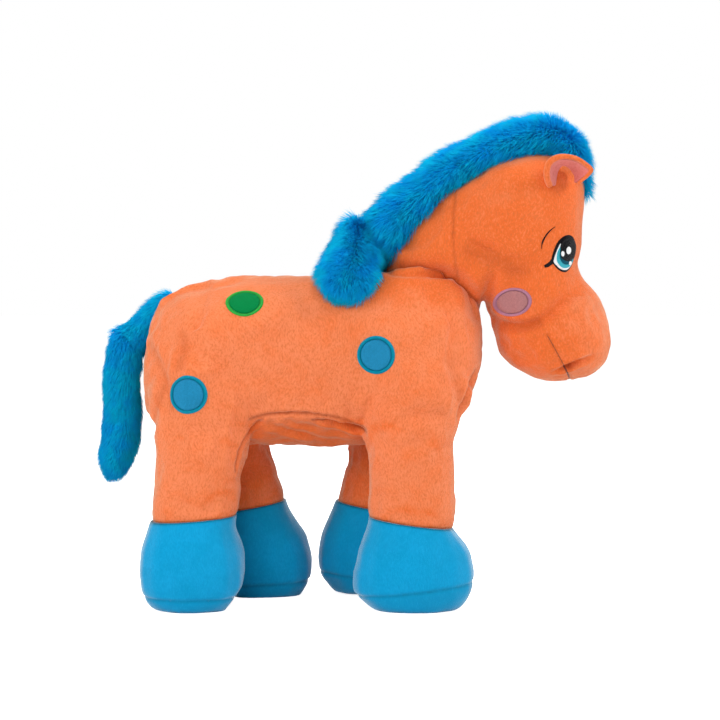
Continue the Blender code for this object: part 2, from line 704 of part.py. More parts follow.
def swelled_cutter(bm, name, distance=SEAM_GAP, pivot=None, axis="Y", angle=0.0):
    """A neighbour's outer form with its gap, turned as it would be seen from the piece it cuts."""
    mesh = mesh_from(inset(bm, -distance), name)
    if pivot is not None:
        spin = Matrix.Translation(pivot) @ Matrix.Rotation(angle, 4, axis) @ Matrix.Translation(-pivot)
        mesh.transform(spin)
    return cutter(mesh)


trunk_keep = swelled_cutter(trunk_surface(), "trunk_keep")
trunk_nod_keep = swelled_cutter(trunk_surface(), "trunk_nod_keep", SEAM_GAP, NECK_PIVOT, "Y", NOD_UP)
neck_keep = swelled_cutter(neck_surface(), "neck_keep")
head_keep = swelled_cutter(head_surface(), "head_keep")

# Trunk pieces
trunk_cuts = [*leg_sweeps, neck_sweep, dock_sweep]
trunk_cover = new_object("trunk_cover", mesh_from(trunk_surface(), "trunk_cover"), VELOUR)
thicken(trunk_cover)
cut(trunk_cover, trunk_cuts)
trunk_filling_mesh = mesh_from(inset(trunk_surface(), FABRIC + SEAM_GAP), "trunk_stuffing")
trunk_stuffing = new_object("trunk_stuffing", trunk_filling_mesh, STUFFING)
cut(trunk_stuffing, trunk_cuts)

# Leg pieces
for name, leg in LEGS.items():
    hip = hip_of(leg)
    cover_mesh = mesh_from(loft(shin_rings(leg), None, thigh_top(leg)), name + "_cover")
    cover = new_object("leg_cover_" + name, cover_mesh, VELOUR, hip)
    thicken(cover)
    hoof = new_object("hoof_cover_" + name, mesh_from(loft(hoof_rings(leg)), name + "_hoof"), HOOF_VELOUR, hip)
    thicken(hoof)
    filled = loft([*hoof_rings(leg)[:-1], *shin_rings(leg)], None, thigh_top(leg))
    filled = inset(cap_flat(filled), FABRIC + SEAM_GAP)
    new_object("leg_stuffing_" + name, mesh_from(filled, name + "_stuffing"), STUFFING, hip)
    half_length = hoof_rings(leg)[0][0].x - leg["hip"] - leg["foot"] - SOLE_INSET
    half_width = SHIN_WIDTH / 2 - SOLE_INSET
    foot = leg["hip"] + leg["foot"]
    levels = [level_ring(foot, hip.y, height, half_length, half_width) for height in (0.0, FABRIC)]
    new_object("hoof_sole_" + name, mesh_from(cap_flat(loft(levels)), name + "_sole"), HOOF_VELOUR, hip)

# Neck pieces
neck_cuts = [skull_sweep, jaw_sweep]
neck_cover = new_object("neck_cover", mesh_from(neck_surface(), "neck_cover"), VELOUR, NECK_PIVOT)
thicken(neck_cover)
cut(neck_cover, neck_cuts)
neck_stuffing_mesh = mesh_from(inset(neck_surface(), FABRIC + SEAM_GAP), "neck_stuffing")
neck_stuffing = new_object("neck_stuffing", neck_stuffing_mesh, STUFFING, NECK_PIVOT)
cut(neck_stuffing, neck_cuts)
mane_crest = new_object("mane_crest", mesh_from(crest_surface(), "mane_crest"), FUR, NECK_PIVOT)
cut(mane_crest, [neck_keep, *neck_cuts, crown_sweep, trunk_keep, trunk_nod_keep, tip_sweep])

# Mane tip
mane_tip = new_object("mane_tip", mesh_from(tip_surface(), "mane_tip"), FUR, TIP_PIVOT)
cut(mane_tip, [trunk_keep])

# Tail pieces
tail_dock = new_object("tail_dock", mesh_from(dock_surface(), "tail_dock"), FUR, TAIL_ROOT)
cut(tail_dock, [switch_sweep])
new_object("tail_switch", mesh_from(switch_surface(), "tail_switch"), FUR, TAIL_JOINT)

# Head pieces
head_cover = new_object("head_cover", mesh_from(head_surface(), "head_cover"), VELOUR, TURN_AXIS)
thicken(head_cover)
HOLE_SHARE = 0.36
hole_centre = head_point(HOLE_SHARE, HEAD_BACK_SHARES[4][1])
hole_rings = []
for reach in (-CUT_OVERRUN, CUT_OVERRUN):
    centre = hole_centre + Vector((reach, 0.0, 0.0))
    hole_rings.append(ring(centre, SIDEWAYS * NECK_HOLE_RADIUS, Vector((0.0, 0.0, NECK_HOLE_RADIUS)), LIMB_SIDES))
neck_hole = cutter(mesh_from(cap_flat(loft(hole_rings)), "neck_hole"))
cut(head_cover, [neck_hole])
head_stuffing_mesh = mesh_from(inset(head_surface(), FABRIC + SEAM_GAP), "head_stuffing")
new_object("head_stuffing", head_stuffing_mesh, STUFFING, TURN_AXIS)
mane_crown = new_object("mane_crown", mesh_from(crown_surface(), "mane_crown"), FUR, TURN_AXIS)
cut(mane_crown, [head_keep, crest_sweep])


# Ears: a cupped leaf of velour with a lining, hinged at the head's side
EAR_LEAF_SHARES = [(0.0, 0.72), (0.2, 0.95), (0.42, 1.0), (0.7, 0.78), (0.88, 0.45), (1.0, 0.08)]
EAR_ROW_SHARES = (0.0, 0.18, 0.38, 0.58, 0.76, 0.9, 1.0)
LINING_ROW_SHARES = (0.1, 0.22, 0.38, 0.56, 0.72, 0.86)
EAR_COLUMN_SHARES = (-1.0, -0.5, 0.0, 0.5, 1.0)
EAR_LEAN_SHARE = 0.25
SIDES = {"right": RIGHT, "left": LEFT}


def ear_axes(side):
    along = Vector((math.cos(EAR_SPLAY), side * math.sin(EAR_SPLAY), 0.0))
    across = Vector((EAR_LEAN_SHARE, 0.0, 1.0)).normalized()
    return along, across, along.cross(across).normalized() * -side


def ear_grid(side, rows, edge_inset, lift):
    """An open cupped surface whose normals face out of the ear's hollow."""
    along, across, out = ear_axes(side)
    root = Vector((EAR_AHEAD, side * EAR_SIDE, EAR_HEIGHT))
    bm = bmesh.new()
    grid = []
    for row in rows:
        leaf = smooth(EAR_LEAF_SHARES, row)
        half = EAR_WIDTH / 2 * leaf - edge_inset
        cup = [EAR_CUP * leaf * column**2 + lift for column in EAR_COLUMN_SHARES]
        middle = root + along * (EAR_LENGTH * row)
        line = [middle + across * (half * column) for column in EAR_COLUMN_SHARES]
        grid.append([bm.verts.new(p + out * rise) for p, rise in zip(line, cup)])
    for low, high in zip(grid, grid[1:]):
        for i in range(len(low) - 1):
            bm.faces.new((low[i], high[i], high[i + 1], low[i + 1]))
    bm.normal_update()
    if sum(f.normal.dot(out) for f in bm.faces) < 0:
        bmesh.ops.reverse_faces(bm, faces=bm.faces)
        bm.normal_update()
    return bm


for word, side in SIDES.items():
    root = Vector((EAR_AHEAD, side * EAR_SIDE, EAR_HEIGHT))
    spread = swelled_cutter(head_surface(), "head_keep_ear_" + word)
    turn = Matrix.Rotation(-side * EAR_SWING, 4, ear_axes(side)[1])
    spread.data.transform(Matrix.Translation(root) @ turn @ Matrix.Translation(-root))
    leaf_mesh = mesh_from(ear_grid(side, EAR_ROW_SHARES, 0.0, 0.0), "ear_" + word)
    leaf = new_object("ear_outer_" + word, leaf_mesh, VELOUR, root)
    thicken(leaf, EAR_THICKNESS)
    cut(leaf, [head_keep, spread])
    lining_grid = ear_grid(side, LINING_ROW_SHARES, LINING_INSET, LINING_THICKNESS + SEAM_GAP)
    lining_mesh = mesh_from(lining_grid, "lining_" + word)
    lining = new_object("ear_lining_" + word, lining_mesh, LINING, root)
    thicken(lining, LINING_THICKNESS)
    cut(lining, [head_keep, spread])


# Plates that lie on a form: spots, borders and embroidery
def laid(tree, point, toward, lift):
    """The place where a point, looked at along a direction, meets the form, lifted off it."""
    hit = tree.ray_cast(point + toward * RAY_REACH, -toward)[0]
    if hit is None:
        hit = tree.find_nearest(point)[0]
    return hit + toward * lift


def stitched_plate(name, surface, tree, toward, top_loops, base_loops, origin):
    """A closed thin plate: loops of points above, loops below, joined at both ends of the two rows."""
    bm = bmesh.new()

    def laid_loop(loop):
        points, lift = loop
        return [bm.verts.new(laid(tree, p, toward, lift)) for p in points]

    rows = [laid_loop(loop) for loop in [*top_loops, *reversed(base_loops)]]
    for low, high in zip(rows, [*rows[1:], rows[0]]):
        if len(low) == len(high) == 1:
            continue
        count = max(len(low), len(high))
        for i in range(count):
            j = (i + 1) % count
            corners = [low[i % len(low)], low[j % len(low)], high[j % len(high)], high[i % len(high)]]
            bm.faces.new(list(dict.fromkeys(corners)))
    bmesh.ops.recalc_face_normals(bm, faces=bm.faces)
    return new_object(name, mesh_from(bm, name), surface, origin)


MIDWAY_SHARE = 0.58


def oval(centre, right, up, scale, sides=OUTLINE_SIDES):
    return ring(centre, right * scale, up * scale, sides)


def patch(name, cloths, tree, keep, centre, toward, size, origin):
    """An oval of fabric laid on a form, with a satin-stitched border round it."""
    level = Vector((0.0, 0.0, 1.0)).cross(toward).normalized()
    up = toward.cross(level).normalized()
    right, up = level * size[0] / 2, up * size[1] / 2
    inner = 1 - 2 * (BORDER_WIDTH + SEAM_GAP) / min(size)
    edge = 1 - 2 * BORDER_WIDTH / min(size)
    top = STITCH_LIFT + PATCH_THICKNESS
    rim, middle = oval(centre, right, up, inner), oval(centre, right, up, inner * MIDWAY_SHARE)
    tops = [([centre], top), (middle, top), (rim, top)]
    bases = [([centre], STITCH_LIFT), (middle, STITCH_LIFT), (rim, STITCH_LIFT)]
    cut(stitched_plate(name, cloths[0], tree, toward, tops, bases, origin), [keep])
    crest = STITCH_LIFT + BORDER_THICKNESS
    lifts = (STITCH_LIFT, crest, STITCH_LIFT)
    beads = [(oval(centre, right, up, scale), lift) for scale, lift in zip((edge, (1 + edge) / 2, 1.0), lifts)]
    cut(stitched_plate(name + "_border", cloths[1], tree, toward, beads, [], origin), [keep])


trunk_tree = BVHTree.FromBMesh(trunk_surface())
head_tree = BVHTree.FromBMesh(head_surface())
BLUE_SPOT = (material("spot_blue", SPOT_BLUE), material("satin_blue", SATIN_BLUE))
GREEN_SPOT = (material("spot_green", SPOT_GREEN), material("satin_green", SATIN_GREEN))
MAUVE_SPOT = (material("spot_mauve", MAUVE), material("satin_lilac", SATIN_LILAC))
SPOT_SIZE = (SPOT_DIAMETER, SPOT_DIAMETER)
RUMP_SPOT_SIZE = (RUMP_SPOT_DIAMETER, RUMP_SPOT_DIAMETER)
CHEEK_SIZE = (CHEEK_LENGTH, CHEEK_HEIGHT)
for word, side in SIDES.items():
    outward = Vector((0.0, float(side), 0.0))
    flank = side * TRUNK_WIDTH / 2
    centre = Vector((SHOULDER_SPOT_AHEAD, flank, SHOULDER_SPOT_HEIGHT))
    patch("shoulder_spot_" + word, BLUE_SPOT, trunk_tree, trunk_keep, centre, outward, SPOT_SIZE, None)
    tilted = Vector((0.0, side * math.cos(BACK_SPOT_TILT), math.sin(BACK_SPOT_TILT)))
    aside = side * TRUNK_WIDTH / 2 * math.cos(BACK_SPOT_TILT)
    centre = Vector((-BACK_SPOT_BACK, aside, BACK_SPOT_HEIGHT))
    patch("back_spot_" + word, GREEN_SPOT, trunk_tree, trunk_keep, centre, tilted, SPOT_SIZE, None)
    leg = LEGS["hind_" + word]
    thigh_tree = BVHTree.FromBMesh(loft(shin_rings(leg), None, thigh_top(leg)))
    thigh_keep = swelled_cutter(cap_flat(loft(shin_rings(leg), None, thigh_top(leg))), "thigh_keep_" + word)
    centre = hip_of(leg) - Vector((THIGH_SPOT_BACK, 0.0, 0.0))
    patch("thigh_spot_" + word, BLUE_SPOT, thigh_tree, thigh_keep, centre, outward, SPOT_SIZE, hip_of(leg))
    centre = Vector((CHEEK_AHEAD, 0.0, CHEEK_LEVEL))
    patch("cheek_patch_" + word, MAUVE_SPOT, head_tree, head_keep, centre, outward, CHEEK_SIZE, TURN_AXIS)
backward = Vector((-1.0, 0.0, 0.0))
centre = Vector((-TRUNK_REAR, 0.0, RUMP_SPOT_HEIGHT))
patch("rump_spot", MAUVE_SPOT, trunk_tree, trunk_keep, centre, backward, RUMP_SPOT_SIZE, None)

# Embroidered eyes, in layers, and brows
EYE_OUTLINE_SHARES = [
    (0.2, 0.5), (0.38, 0.42), (0.5, 0.22), (0.5, 0.0), (0.42, -0.25), (0.22, -0.44),
    (0.0, -0.5), (-0.22, -0.4), (-0.5, -0.19), (-0.4, 0.0), (-0.22, 0.25), (-0.02, 0.43),
]
IRIS_CENTRE_SHARE = (0.06, -0.1)
IRIS_SIZE_SHARE = (0.3, 0.27)
WHITE_ARC_SHARES = (0.36, 0.82)
WHITE_WIDTH_SHARES = [(0.0, 0.05), (0.5, 0.4), (1.0, 0.05)]
WHITE_STEPS = 8
BROW_START_SHARE = (-1.06, 0.1)
BROW_ARC_SHARES = [(0.0, 0.0), (0.15, 0.4), (0.5, 0.78), (1.0, 1.0)]
BROW_STEPS = 6
LEAST_WIDTH_SHARE = 0.3


def face_point(across, above):
    return Vector((EYE_AHEAD + EYE_LENGTH * across, 0.0, EYE_LEVEL + EYE_HEIGHT * above))


def band_plate(name, surface, outer, inner, outward, lift):
    """A closed plate between two lines of points that run side by side."""
    loop_points = [*outer, *reversed(inner)]
    bm = bmesh.new()
    low = [bm.verts.new(laid(head_tree, p, outward, lift)) for p in loop_points]
    high = [bm.verts.new(laid(head_tree, p, outward, lift + THREAD_LAYER)) for p in loop_points]
    count = len(loop_points)
    for i in range(count):
        bm.faces.new((low[i], low[(i + 1) % count], high[(i + 1) % count], high[i]))
    for i in range(count // 2 - 1):
        j = count - 1 - i
        bm.faces.new((low[i], low[i + 1], low[j - 1], low[j]))
        bm.faces.new((high[i], high[i + 1], high[j - 1], high[j]))
    bmesh.ops.recalc_face_normals(bm, faces=bm.faces)
    return new_object(name, mesh_from(bm, name), surface, TURN_AXIS)


def solid_patch(name, surface, points, outward, lift):
    """A closed plate inside an outline."""
    centre = sum(points, Vector()) / len(points)
    half = [centre.lerp(p, MIDWAY_SHARE) for p in points]
    top = lift + THREAD_LAYER
    tops = [([centre], top), (half, top), (points, top)]
    bases = [([centre], lift), (half, lift), (points, lift)]
    return stitched_plate(name, surface, head_tree, outward, tops, bases, TURN_AXIS)


for word, side in SIDES.items():
    outward = Vector((0.0, float(side), 0.0))
    outline = [face_point(*share) for share in EYE_OUTLINE_SHARES]
    cut(solid_patch("eye_outline_" + word, THREAD_BLACK, outline, outward, STITCH_LIFT), [head_keep])
    second = STITCH_LIFT + THREAD_LAYER + LAYER_GAP
    iris_centre = face_point(*IRIS_CENTRE_SHARE)
    iris_right = Vector((EYE_LENGTH * IRIS_SIZE_SHARE[0], 0.0, 0.0))
    iris_up = Vector((0.0, 0.0, EYE_HEIGHT * IRIS_SIZE_SHARE[1]))
    iris = oval(iris_centre, iris_right, iris_up, 1.0, LIMB_SIDES)
    solid_patch("eye_iris_" + word, THREAD_AQUA, iris, outward, second)
    outer, inner = [], []
    clear = 1 + 2 * SEAM_GAP / EYE_LENGTH / IRIS_SIZE_SHARE[0]
    for i in range(WHITE_STEPS + 1):
        share = i / WHITE_STEPS
        low, high = WHITE_ARC_SHARES
        angle = 2 * math.pi * (low + (high - low) * share)
        spoke = iris_right * math.cos(angle) + iris_up * math.sin(angle)
        inner.append(iris_centre + spoke * clear)
        outer.append(iris_centre + spoke * (clear + smooth(WHITE_WIDTH_SHARES, share)))
    band_plate("eye_white_" + word, THREAD_WHITE, outer, inner, outward, second)
    brow_start = face_point(*BROW_START_SHARE)
    outer, inner = [], []
    for i in range(BROW_STEPS + 1):
        share = i / BROW_STEPS
        rise = smooth(BROW_ARC_SHARES, share)
        middle = brow_start + Vector((BROW_LENGTH * share, 0.0, BROW_HEIGHT * rise))
        taper = LEAST_WIDTH_SHARE + (1 - LEAST_WIDTH_SHARE) * math.sin(math.pi * share)
        half = Vector((-1.0, 0.0, 1.0)).normalized() * (BROW_WIDTH / 2 * taper)
        outer.append(middle + half)
        inner.append(middle - half)
    cut(band_plate("brow_" + word, THREAD_BLACK, outer, inner, outward, STITCH_LIFT), [head_keep])

# Mouth seam: a thread that runs down one side of the muzzle, under the chin and up the other
MOUTH_TILT_SHARE = 0.49
MOUTH_REACH = math.radians(118)
MOUTH_POINTS = 21
mouth_down = Vector((MOUTH_TILT_SHARE, 0.0, -1.0)).normalized()
mouth_centre = Vector((MOUTH_AHEAD, 0.0, MOUTH_LEVEL))
thread = bpy.data.curves.new("mouth_seam", "CURVE")
thread.dimensions = "3D"
thread.bevel_depth = SEAM_THREAD_RADIUS
thread.bevel_resolution = 1
thread.use_fill_caps = True
line = thread.splines.new("POLY")
line.points.add(MOUTH_POINTS - 1)
for i in range(MOUTH_POINTS):
    angle = MOUTH_REACH * (2 * i / (MOUTH_POINTS - 1) - 1)
    spoke = mouth_down * math.cos(angle) + SIDEWAYS * math.sin(angle)
    place = laid(head_tree, mouth_centre, spoke, SEAM_THREAD_RADIUS + STITCH_LIFT + SEAM_GAP) - TURN_AXIS
    line.points[i].co = (*place, 1.0)
mouth_seam = bpy.data.objects.new("mouth_seam", thread)
mouth_seam.location = TURN_AXIS
bpy.context.scene.collection.objects.link(mouth_seam)
thread.materials.append(VELOUR)
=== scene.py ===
"""Dresses a standing plush horse: velour skin, hooves, fur mane and tail, spots and a sewn face."""

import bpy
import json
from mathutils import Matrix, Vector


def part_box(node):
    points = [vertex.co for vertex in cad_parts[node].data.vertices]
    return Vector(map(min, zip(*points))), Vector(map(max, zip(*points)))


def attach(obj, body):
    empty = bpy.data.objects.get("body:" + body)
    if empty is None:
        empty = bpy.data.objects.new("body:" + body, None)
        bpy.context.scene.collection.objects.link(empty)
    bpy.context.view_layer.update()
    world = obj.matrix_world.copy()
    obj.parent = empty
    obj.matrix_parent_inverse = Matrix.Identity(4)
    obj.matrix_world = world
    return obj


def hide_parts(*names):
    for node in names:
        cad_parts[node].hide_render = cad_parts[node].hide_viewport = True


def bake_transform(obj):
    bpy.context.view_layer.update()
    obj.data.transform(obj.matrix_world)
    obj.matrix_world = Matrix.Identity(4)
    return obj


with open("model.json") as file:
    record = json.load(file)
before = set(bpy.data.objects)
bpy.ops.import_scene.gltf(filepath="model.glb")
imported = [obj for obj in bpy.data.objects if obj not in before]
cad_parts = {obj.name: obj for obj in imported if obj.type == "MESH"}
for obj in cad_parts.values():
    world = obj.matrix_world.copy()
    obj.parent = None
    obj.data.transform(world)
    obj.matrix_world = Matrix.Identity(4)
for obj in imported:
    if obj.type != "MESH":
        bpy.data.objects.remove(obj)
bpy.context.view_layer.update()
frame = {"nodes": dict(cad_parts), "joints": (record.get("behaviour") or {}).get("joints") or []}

import json
import math

import bmesh
import bpy
import numpy as np
from bpy.props import FloatProperty, FloatVectorProperty, IntProperty, PointerProperty
from mathutils import Matrix, Vector, noise
from mathutils.bvhtree import BVHTree

bl_info = {
    "name": "Plush horse",
    "version": (1, 0),
    "blender": (4, 5, 0),
    "location": "3D View > Sidebar > Plush horse",
    "description": "Velour skin, fur fabric, hooves, spots and face for a jointed plush horse",
    "category": "Add Mesh",
}

MM = 0.001
RIGHT, LEFT = -1, 1
SIDE_WORDS = {RIGHT: "right", LEFT: "left"}
AHEAD, UP = Vector((1, 0, 0)), Vector((0, 0, 1))
JOINTS = {joint["name"]: joint for joint in frame["joints"]}
HIPS = {
    "hind_right": "hip_hind_right",
    "hind_left": "hip_hind_left",
    "fore_right": "shoulder_fore_right",
    "fore_left": "shoulder_fore_left",
}

# Points nearer than this are one, and edges sharper than this stay so
WELD = 0.01 * MM
SHARP = math.radians(60)

# Shares of padding under the skins
SKIN_PADDING = 0.8
HEAD_PADDING = 0.85
FUR_PADDING = 0.6

# Body, where the leg skins begin, and the heights given for their bend, which is not made
LEG_TOP = 103 * MM
LEG_OVERLAP = 5.5 * MM
LEG_DIP = 2.6 * MM
LEG_REACH = 48 * MM
BEND_START = 107 * MM
BEND_END = 62 * MM
MID_BODY = -27 * MM

# Neck, and the places given for its cloth's bend between the bodies beside it, which is not made
HEAD_SEAM = 71.5 * MM
NECK_BEND_START = 30 * MM
TRUNK_TO_NECK = ("trunk", "neck", (4 * MM, 0, 0.25), (NECK_BEND_START, 0, 0.25))
NECK_TO_HEAD = ("neck", "head", (NECK_BEND_START, 0, 0.25), (HEAD_SEAM, 0, 0.25))


# Settings that a user would change
class ClothSettings(bpy.types.PropertyGroup):
    """Colours and pile of the cloths"""

    orange: FloatVectorProperty(
        name="Velour", description="Colour of the orange velour", subtype="COLOR",
        size=3, min=0, max=1, default=(0.84, 0.222, 0.086),
    )
    hoof_blue: FloatVectorProperty(
        name="Hooves", description="Colour of the blue velour", subtype="COLOR",
        size=3, min=0, max=1, default=(0.0, 0.325, 0.62),
    )
    fur_blue: FloatVectorProperty(
        name="Fur", description="Colour of the fur fabric", subtype="COLOR",
        size=3, min=0, max=1, default=(0.0, 0.43, 1.0),
    )
    # The tips' lighter colour is a painted highlight where the ends of the pile catch light
    fur_tip_highlight: FloatVectorProperty(
        name="Fur tips", description="Colour of the ends of the pile", subtype="COLOR",
        size=3, min=0, max=1, default=(0.0, 0.7, 1.0),
    )


class SizeSettings(bpy.types.PropertyGroup):
    """Sizes of the cloths and the stitching"""

    cloth_grid: FloatProperty(
        name="Cloth grid", description="Size of the faces of the velour skins",
        unit="LENGTH", default=2.6 * MM, min=1.5 * MM, max=6 * MM,
    )
    fine_grid: FloatProperty(
        name="Fine grid", description="Size of the faces of the hooves",
        unit="LENGTH", default=2.2 * MM, min=1 * MM, max=4 * MM,
    )
    pile_length: FloatProperty(
        name="Pile length", description="Length of the fur fabric's pile",
        unit="LENGTH", default=9.5 * MM, min=3 * MM, max=20 * MM,
    )
    pile_width: FloatProperty(
        name="Lock width", description="Width of one lock of pile at its root",
        unit="LENGTH", default=0.52 * MM, min=0.2 * MM, max=3 * MM,
    )
    pile_count: IntProperty(
        name="Locks", description="Locks of pile on the largest piece of fur",
        default=21000, min=100, max=22000,
    )


# Small helpers for meshes
def opened(mesh):
    """A mesh as a bmesh."""
    bm = bmesh.new()
    bm.from_mesh(mesh)
    return bm


def closed(bm, obj):
    """Writes a bmesh to an object and frees it."""
    bm.to_mesh(obj.data)
    bm.free()
    return obj


def in_scene(name, data):
    """An object that holds a mesh, a lamp or a camera."""
    obj = bpy.data.objects.new(name, data)
    bpy.context.scene.collection.objects.link(obj)
    return obj


def node_copy(node):
    """The welded mesh of a CAD node as a bmesh."""
    bm = opened(frame["nodes"][node].data)
    bmesh.ops.remove_doubles(bm, verts=bm.verts, dist=WELD)
    return bm


def hull_of(bm):
    """Turns a bmesh into the convex form round it."""
    made = bmesh.ops.convex_hull(bm, input=bm.verts)
    spare = {item for key in ("geom_interior", "geom_unused") for item in made[key]}
    spare_verts = [item for item in spare if isinstance(item, bmesh.types.BMVert)]
    bmesh.ops.delete(bm, geom=spare_verts, context="VERTS")
    bmesh.ops.recalc_face_normals(bm, faces=bm.faces)
    return bm


def grow(bm, distance):
    """Moves a surface outwards, or inwards if the distance is below zero."""
    bm.normal_update()
    moves = [(vert, vert.normal * distance * vert.calc_shell_factor()) for vert in bm.verts]
    for vert, move in moves:
        vert.co += move
    bm.normal_update()
    return bm


def to_object(name, *forms):
    """One mesh object from one or more bmeshes."""
    joined = bmesh.new()
    for form in forms:
        part = bpy.data.meshes.new(name + "_form")
        form.to_mesh(part)
        form.free()
        joined.from_mesh(part)
        bpy.data.meshes.remove(part)
    return closed(joined, in_scene(name, bpy.data.meshes.new(name)))


def duplicate(obj, name):
    return in_scene(name, obj.data.copy())


def apply_modifiers(obj):
    """Replaces an object's mesh with what its modifiers make of it."""
    graph = bpy.context.evaluated_depsgraph_get()
    mesh = bpy.data.meshes.new_from_object(obj.evaluated_get(graph))
    old = obj.data
    obj.modifiers.clear()
    obj.data = mesh
    bpy.data.meshes.remove(old)
    mesh.name = obj.name
    return obj


def smoothed(obj, levels):
    """Divides the faces of a piece and rounds it off."""
    step = obj.modifiers.new("smooth", "SUBSURF")
    step.levels = levels
    step.render_levels = levels
    return apply_modifiers(obj)


def remesh(obj, grid):
    """Wraps overlapping forms in one closed skin of even faces."""
    step = obj.modifiers.new("skin", "REMESH")
    step.mode = "VOXEL"
    step.voxel_size = grid
    step.adaptivity = 0.0
    return apply_modifiers(obj)


def relax(obj, steps):
    """Evens a skin out, each point moving half of the way to its neighbours' middle."""
    bm = opened(obj.data)
    for _ in range(steps):
        bmesh.ops.smooth_vert(
            bm, verts=bm.verts, factor=0.5, use_axis_x=True, use_axis_y=True, use_axis_z=True
        )
    return closed(bm, obj)


FILLING_FRAMES = 20
FILLED_CLOTH = {
    "quality": 5,
    "mass": 0.15,
    "tension_stiffness": 12,
    "compression_stiffness": 12,
    "shear_stiffness": 6,
    "bending_stiffness": 0.4,
    "use_pressure": True,
    "uniform_pressure_force": 4.0,
    "vertex_group_mass": "seams",
}


def filled(obj, held, spare, most):
    """Simulates the cloth of a skin under its filling's pressure, held along its seams.

    held gives how firmly each point is held, spare the share by which the cloth is cut larger than
    its form, and most the farthest that a point may move."""
    group = obj.vertex_groups.new(name="seams")
    for index, share in enumerate(held):
        group.add([index], float(share), "REPLACE")
    rest = places(obj.data)
    step = obj.modifiers.new("filling", "CLOTH")
    for name, value in FILLED_CLOTH.items():
        setattr(step.settings, name, value)
    step.settings.shrink_min = -spare
    step.settings.effector_weights.gravity = 0
    step.collision_settings.use_collision = False
    step.point_cache.frame_start = 1
    step.point_cache.frame_end = FILLING_FRAMES
    scene = bpy.context.scene
    for number in range(1, FILLING_FRAMES + 1):
        scene.frame_set(number)
    graph = bpy.context.evaluated_depsgraph_get()
    shift = places(obj.evaluated_get(graph).data) - rest
    obj.modifiers.clear()
    obj.vertex_groups.clear()
    scene.frame_set(1)
    far = np.linalg.norm(shift, axis=1, keepdims=True)
    shift *= np.minimum(1.0, np.reshape(most, (-1, 1)) / np.maximum(far, WELD))
    set_places(obj.data, rest + shift)


def rows_of(values, key, count):
    flat = np.empty(count * 3, np.float32)
    values.foreach_get(key, flat)
    return flat.reshape(-1, 3).astype(float)


def places(mesh):
    """The points of a mesh as rows of an array."""
    return rows_of(mesh.vertices, "co", len(mesh.vertices))


def directions(mesh):
    """The directions in which the points of a mesh face, as rows of an array."""
    return rows_of(mesh.vertex_normals, "vector", len(mesh.vertices))


def set_places(mesh, points):
    mesh.vertices.foreach_set("co", points.astype(np.float32).ravel())
    mesh.update()


def tree_of(name):
    """A search tree of a finished piece, for laying details on it."""
    bm = opened(bpy.data.objects[name].data)
    tree = BVHTree.FromBMesh(bm)
    bm.free()
    return tree


def bridge(bm, rims):
    """Joins each ring of edges to the next by faces."""
    for low, high in zip(rims, rims[1:]):
        bmesh.ops.bridge_loops(bm, edges=[*low, *high])


def close_ends(bm):
    """Fills the open rims of a form and gives the faces that fill them."""
    rims = [edge for edge in bm.edges if edge.is_boundary]
    return bmesh.ops.holes_fill(bm, edges=rims, sides=0)["faces"]


def keep_side(obj, point, normal):
    """Cuts a skin with a plane and keeps what lies on the side that the normal points to."""
    bm = opened(obj.data)
    everything = [*bm.verts, *bm.edges, *bm.faces]
    bmesh.ops.bisect_plane(
        bm, geom=everything, dist=WELD, plane_co=point, plane_no=normal, clear_inner=True
    )
    bmesh.ops.triangulate(bm, faces=close_ends(bm))
    return closed(bm, obj)


def carry(piece, body, other=None, start=None, end=None):
    """Sets a piece on one body; given two, it only fixes the piece where it stands and does not bend it."""
    if other is None:
        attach(piece, body)
    else:
        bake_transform(piece)
        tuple(start)
        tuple(end)


def finish_skin(obj, surface, slot, nodes, carried, padding=None):
    """The cloth and smooth shading of a piece, the CAD nodes it stands for, which it hides, and what
    carries it; its finish's name and its padding are not used.
    """
    mesh = obj.data
    mesh.materials.clear()
    mesh.materials.append(surface)
    mesh.shade_smooth()
    mesh.set_sharp_from_angle(angle=SHARP)
    if nodes:
        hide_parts(*nodes)
    carry(obj, *carried)


# Sewing lines, creases and lumps, as moves along the surface's direction
def line_on(tree, spots, side):
    """Places on a skin under points given as (ahead, height), seen from one side."""
    found = []
    for ahead, height in spots:
        start = Vector((ahead, side * 0.2, height))
        hit = tree.ray_cast(start, Vector((0.0, -side, 0.0)))[0]
        if hit is None:
            hit = tree.find_nearest(Vector((ahead, side * 10 * MM, height)))[0]
        found.append(np.array(hit))
    return found


def side_line(tree, spots, side):
    """A smooth line on a skin through places given in millimetres as (ahead, height)."""
    flat = curve_through([(ahead * MM, height * MM, 0) for ahead, height in spots], 4)
    return line_on(tree, [(spot.x, spot.y) for spot in flat], side)


def on_both_sides(tree, rows):
    """Each row of a table of lines, its line laid on the right and then on the left of a skin."""
    for side in (RIGHT, LEFT):
        for spots, *values in rows:
            yield side_line(tree, spots, side), *values


def curve_through(spots, count):
    """More points along a smooth curve through a few."""
    points = [Vector(spot) for spot in spots]
    ends = [points[0] * 2 - points[1], *points, points[-1] * 2 - points[-2]]
    made = []
    for i in range(1, len(ends) - 2):
        for k in range(count):
            t = k / count
            a, b, c, d = ends[i - 1:i + 3]
            linear = (c - a) * t
            square = (a * 2 - b * 5 + c * 4 - d) * t**2
            cube = (b * 3 - a - c * 3 + d) * t**3
            made.append((b * 2 + linear + square + cube) / 2)
    return [*made, points[-1]]


def near_line(points, line):
    """Distance of each point from a line through places, and its share of the way along."""
    best = np.full(len(points), np.inf)
    along = np.zeros(len(points))
    runs = [end - start for start, end in zip(line, line[1:])]
    lengths = [np.linalg.norm(run) for run in runs]
    total = sum(lengths)
    done = 0.0
    for start, run, length in zip(line, runs, lengths):
        share = np.clip((points - start) @ run / (run @ run), 0, 1)
        far = np.linalg.norm(points - start - share[:, None] * run, axis=1)
        closer = far < best
        best[closer] = far[closer]
        along[closer] = (done + share[closer] * length) / total
        done += length
    return best, along


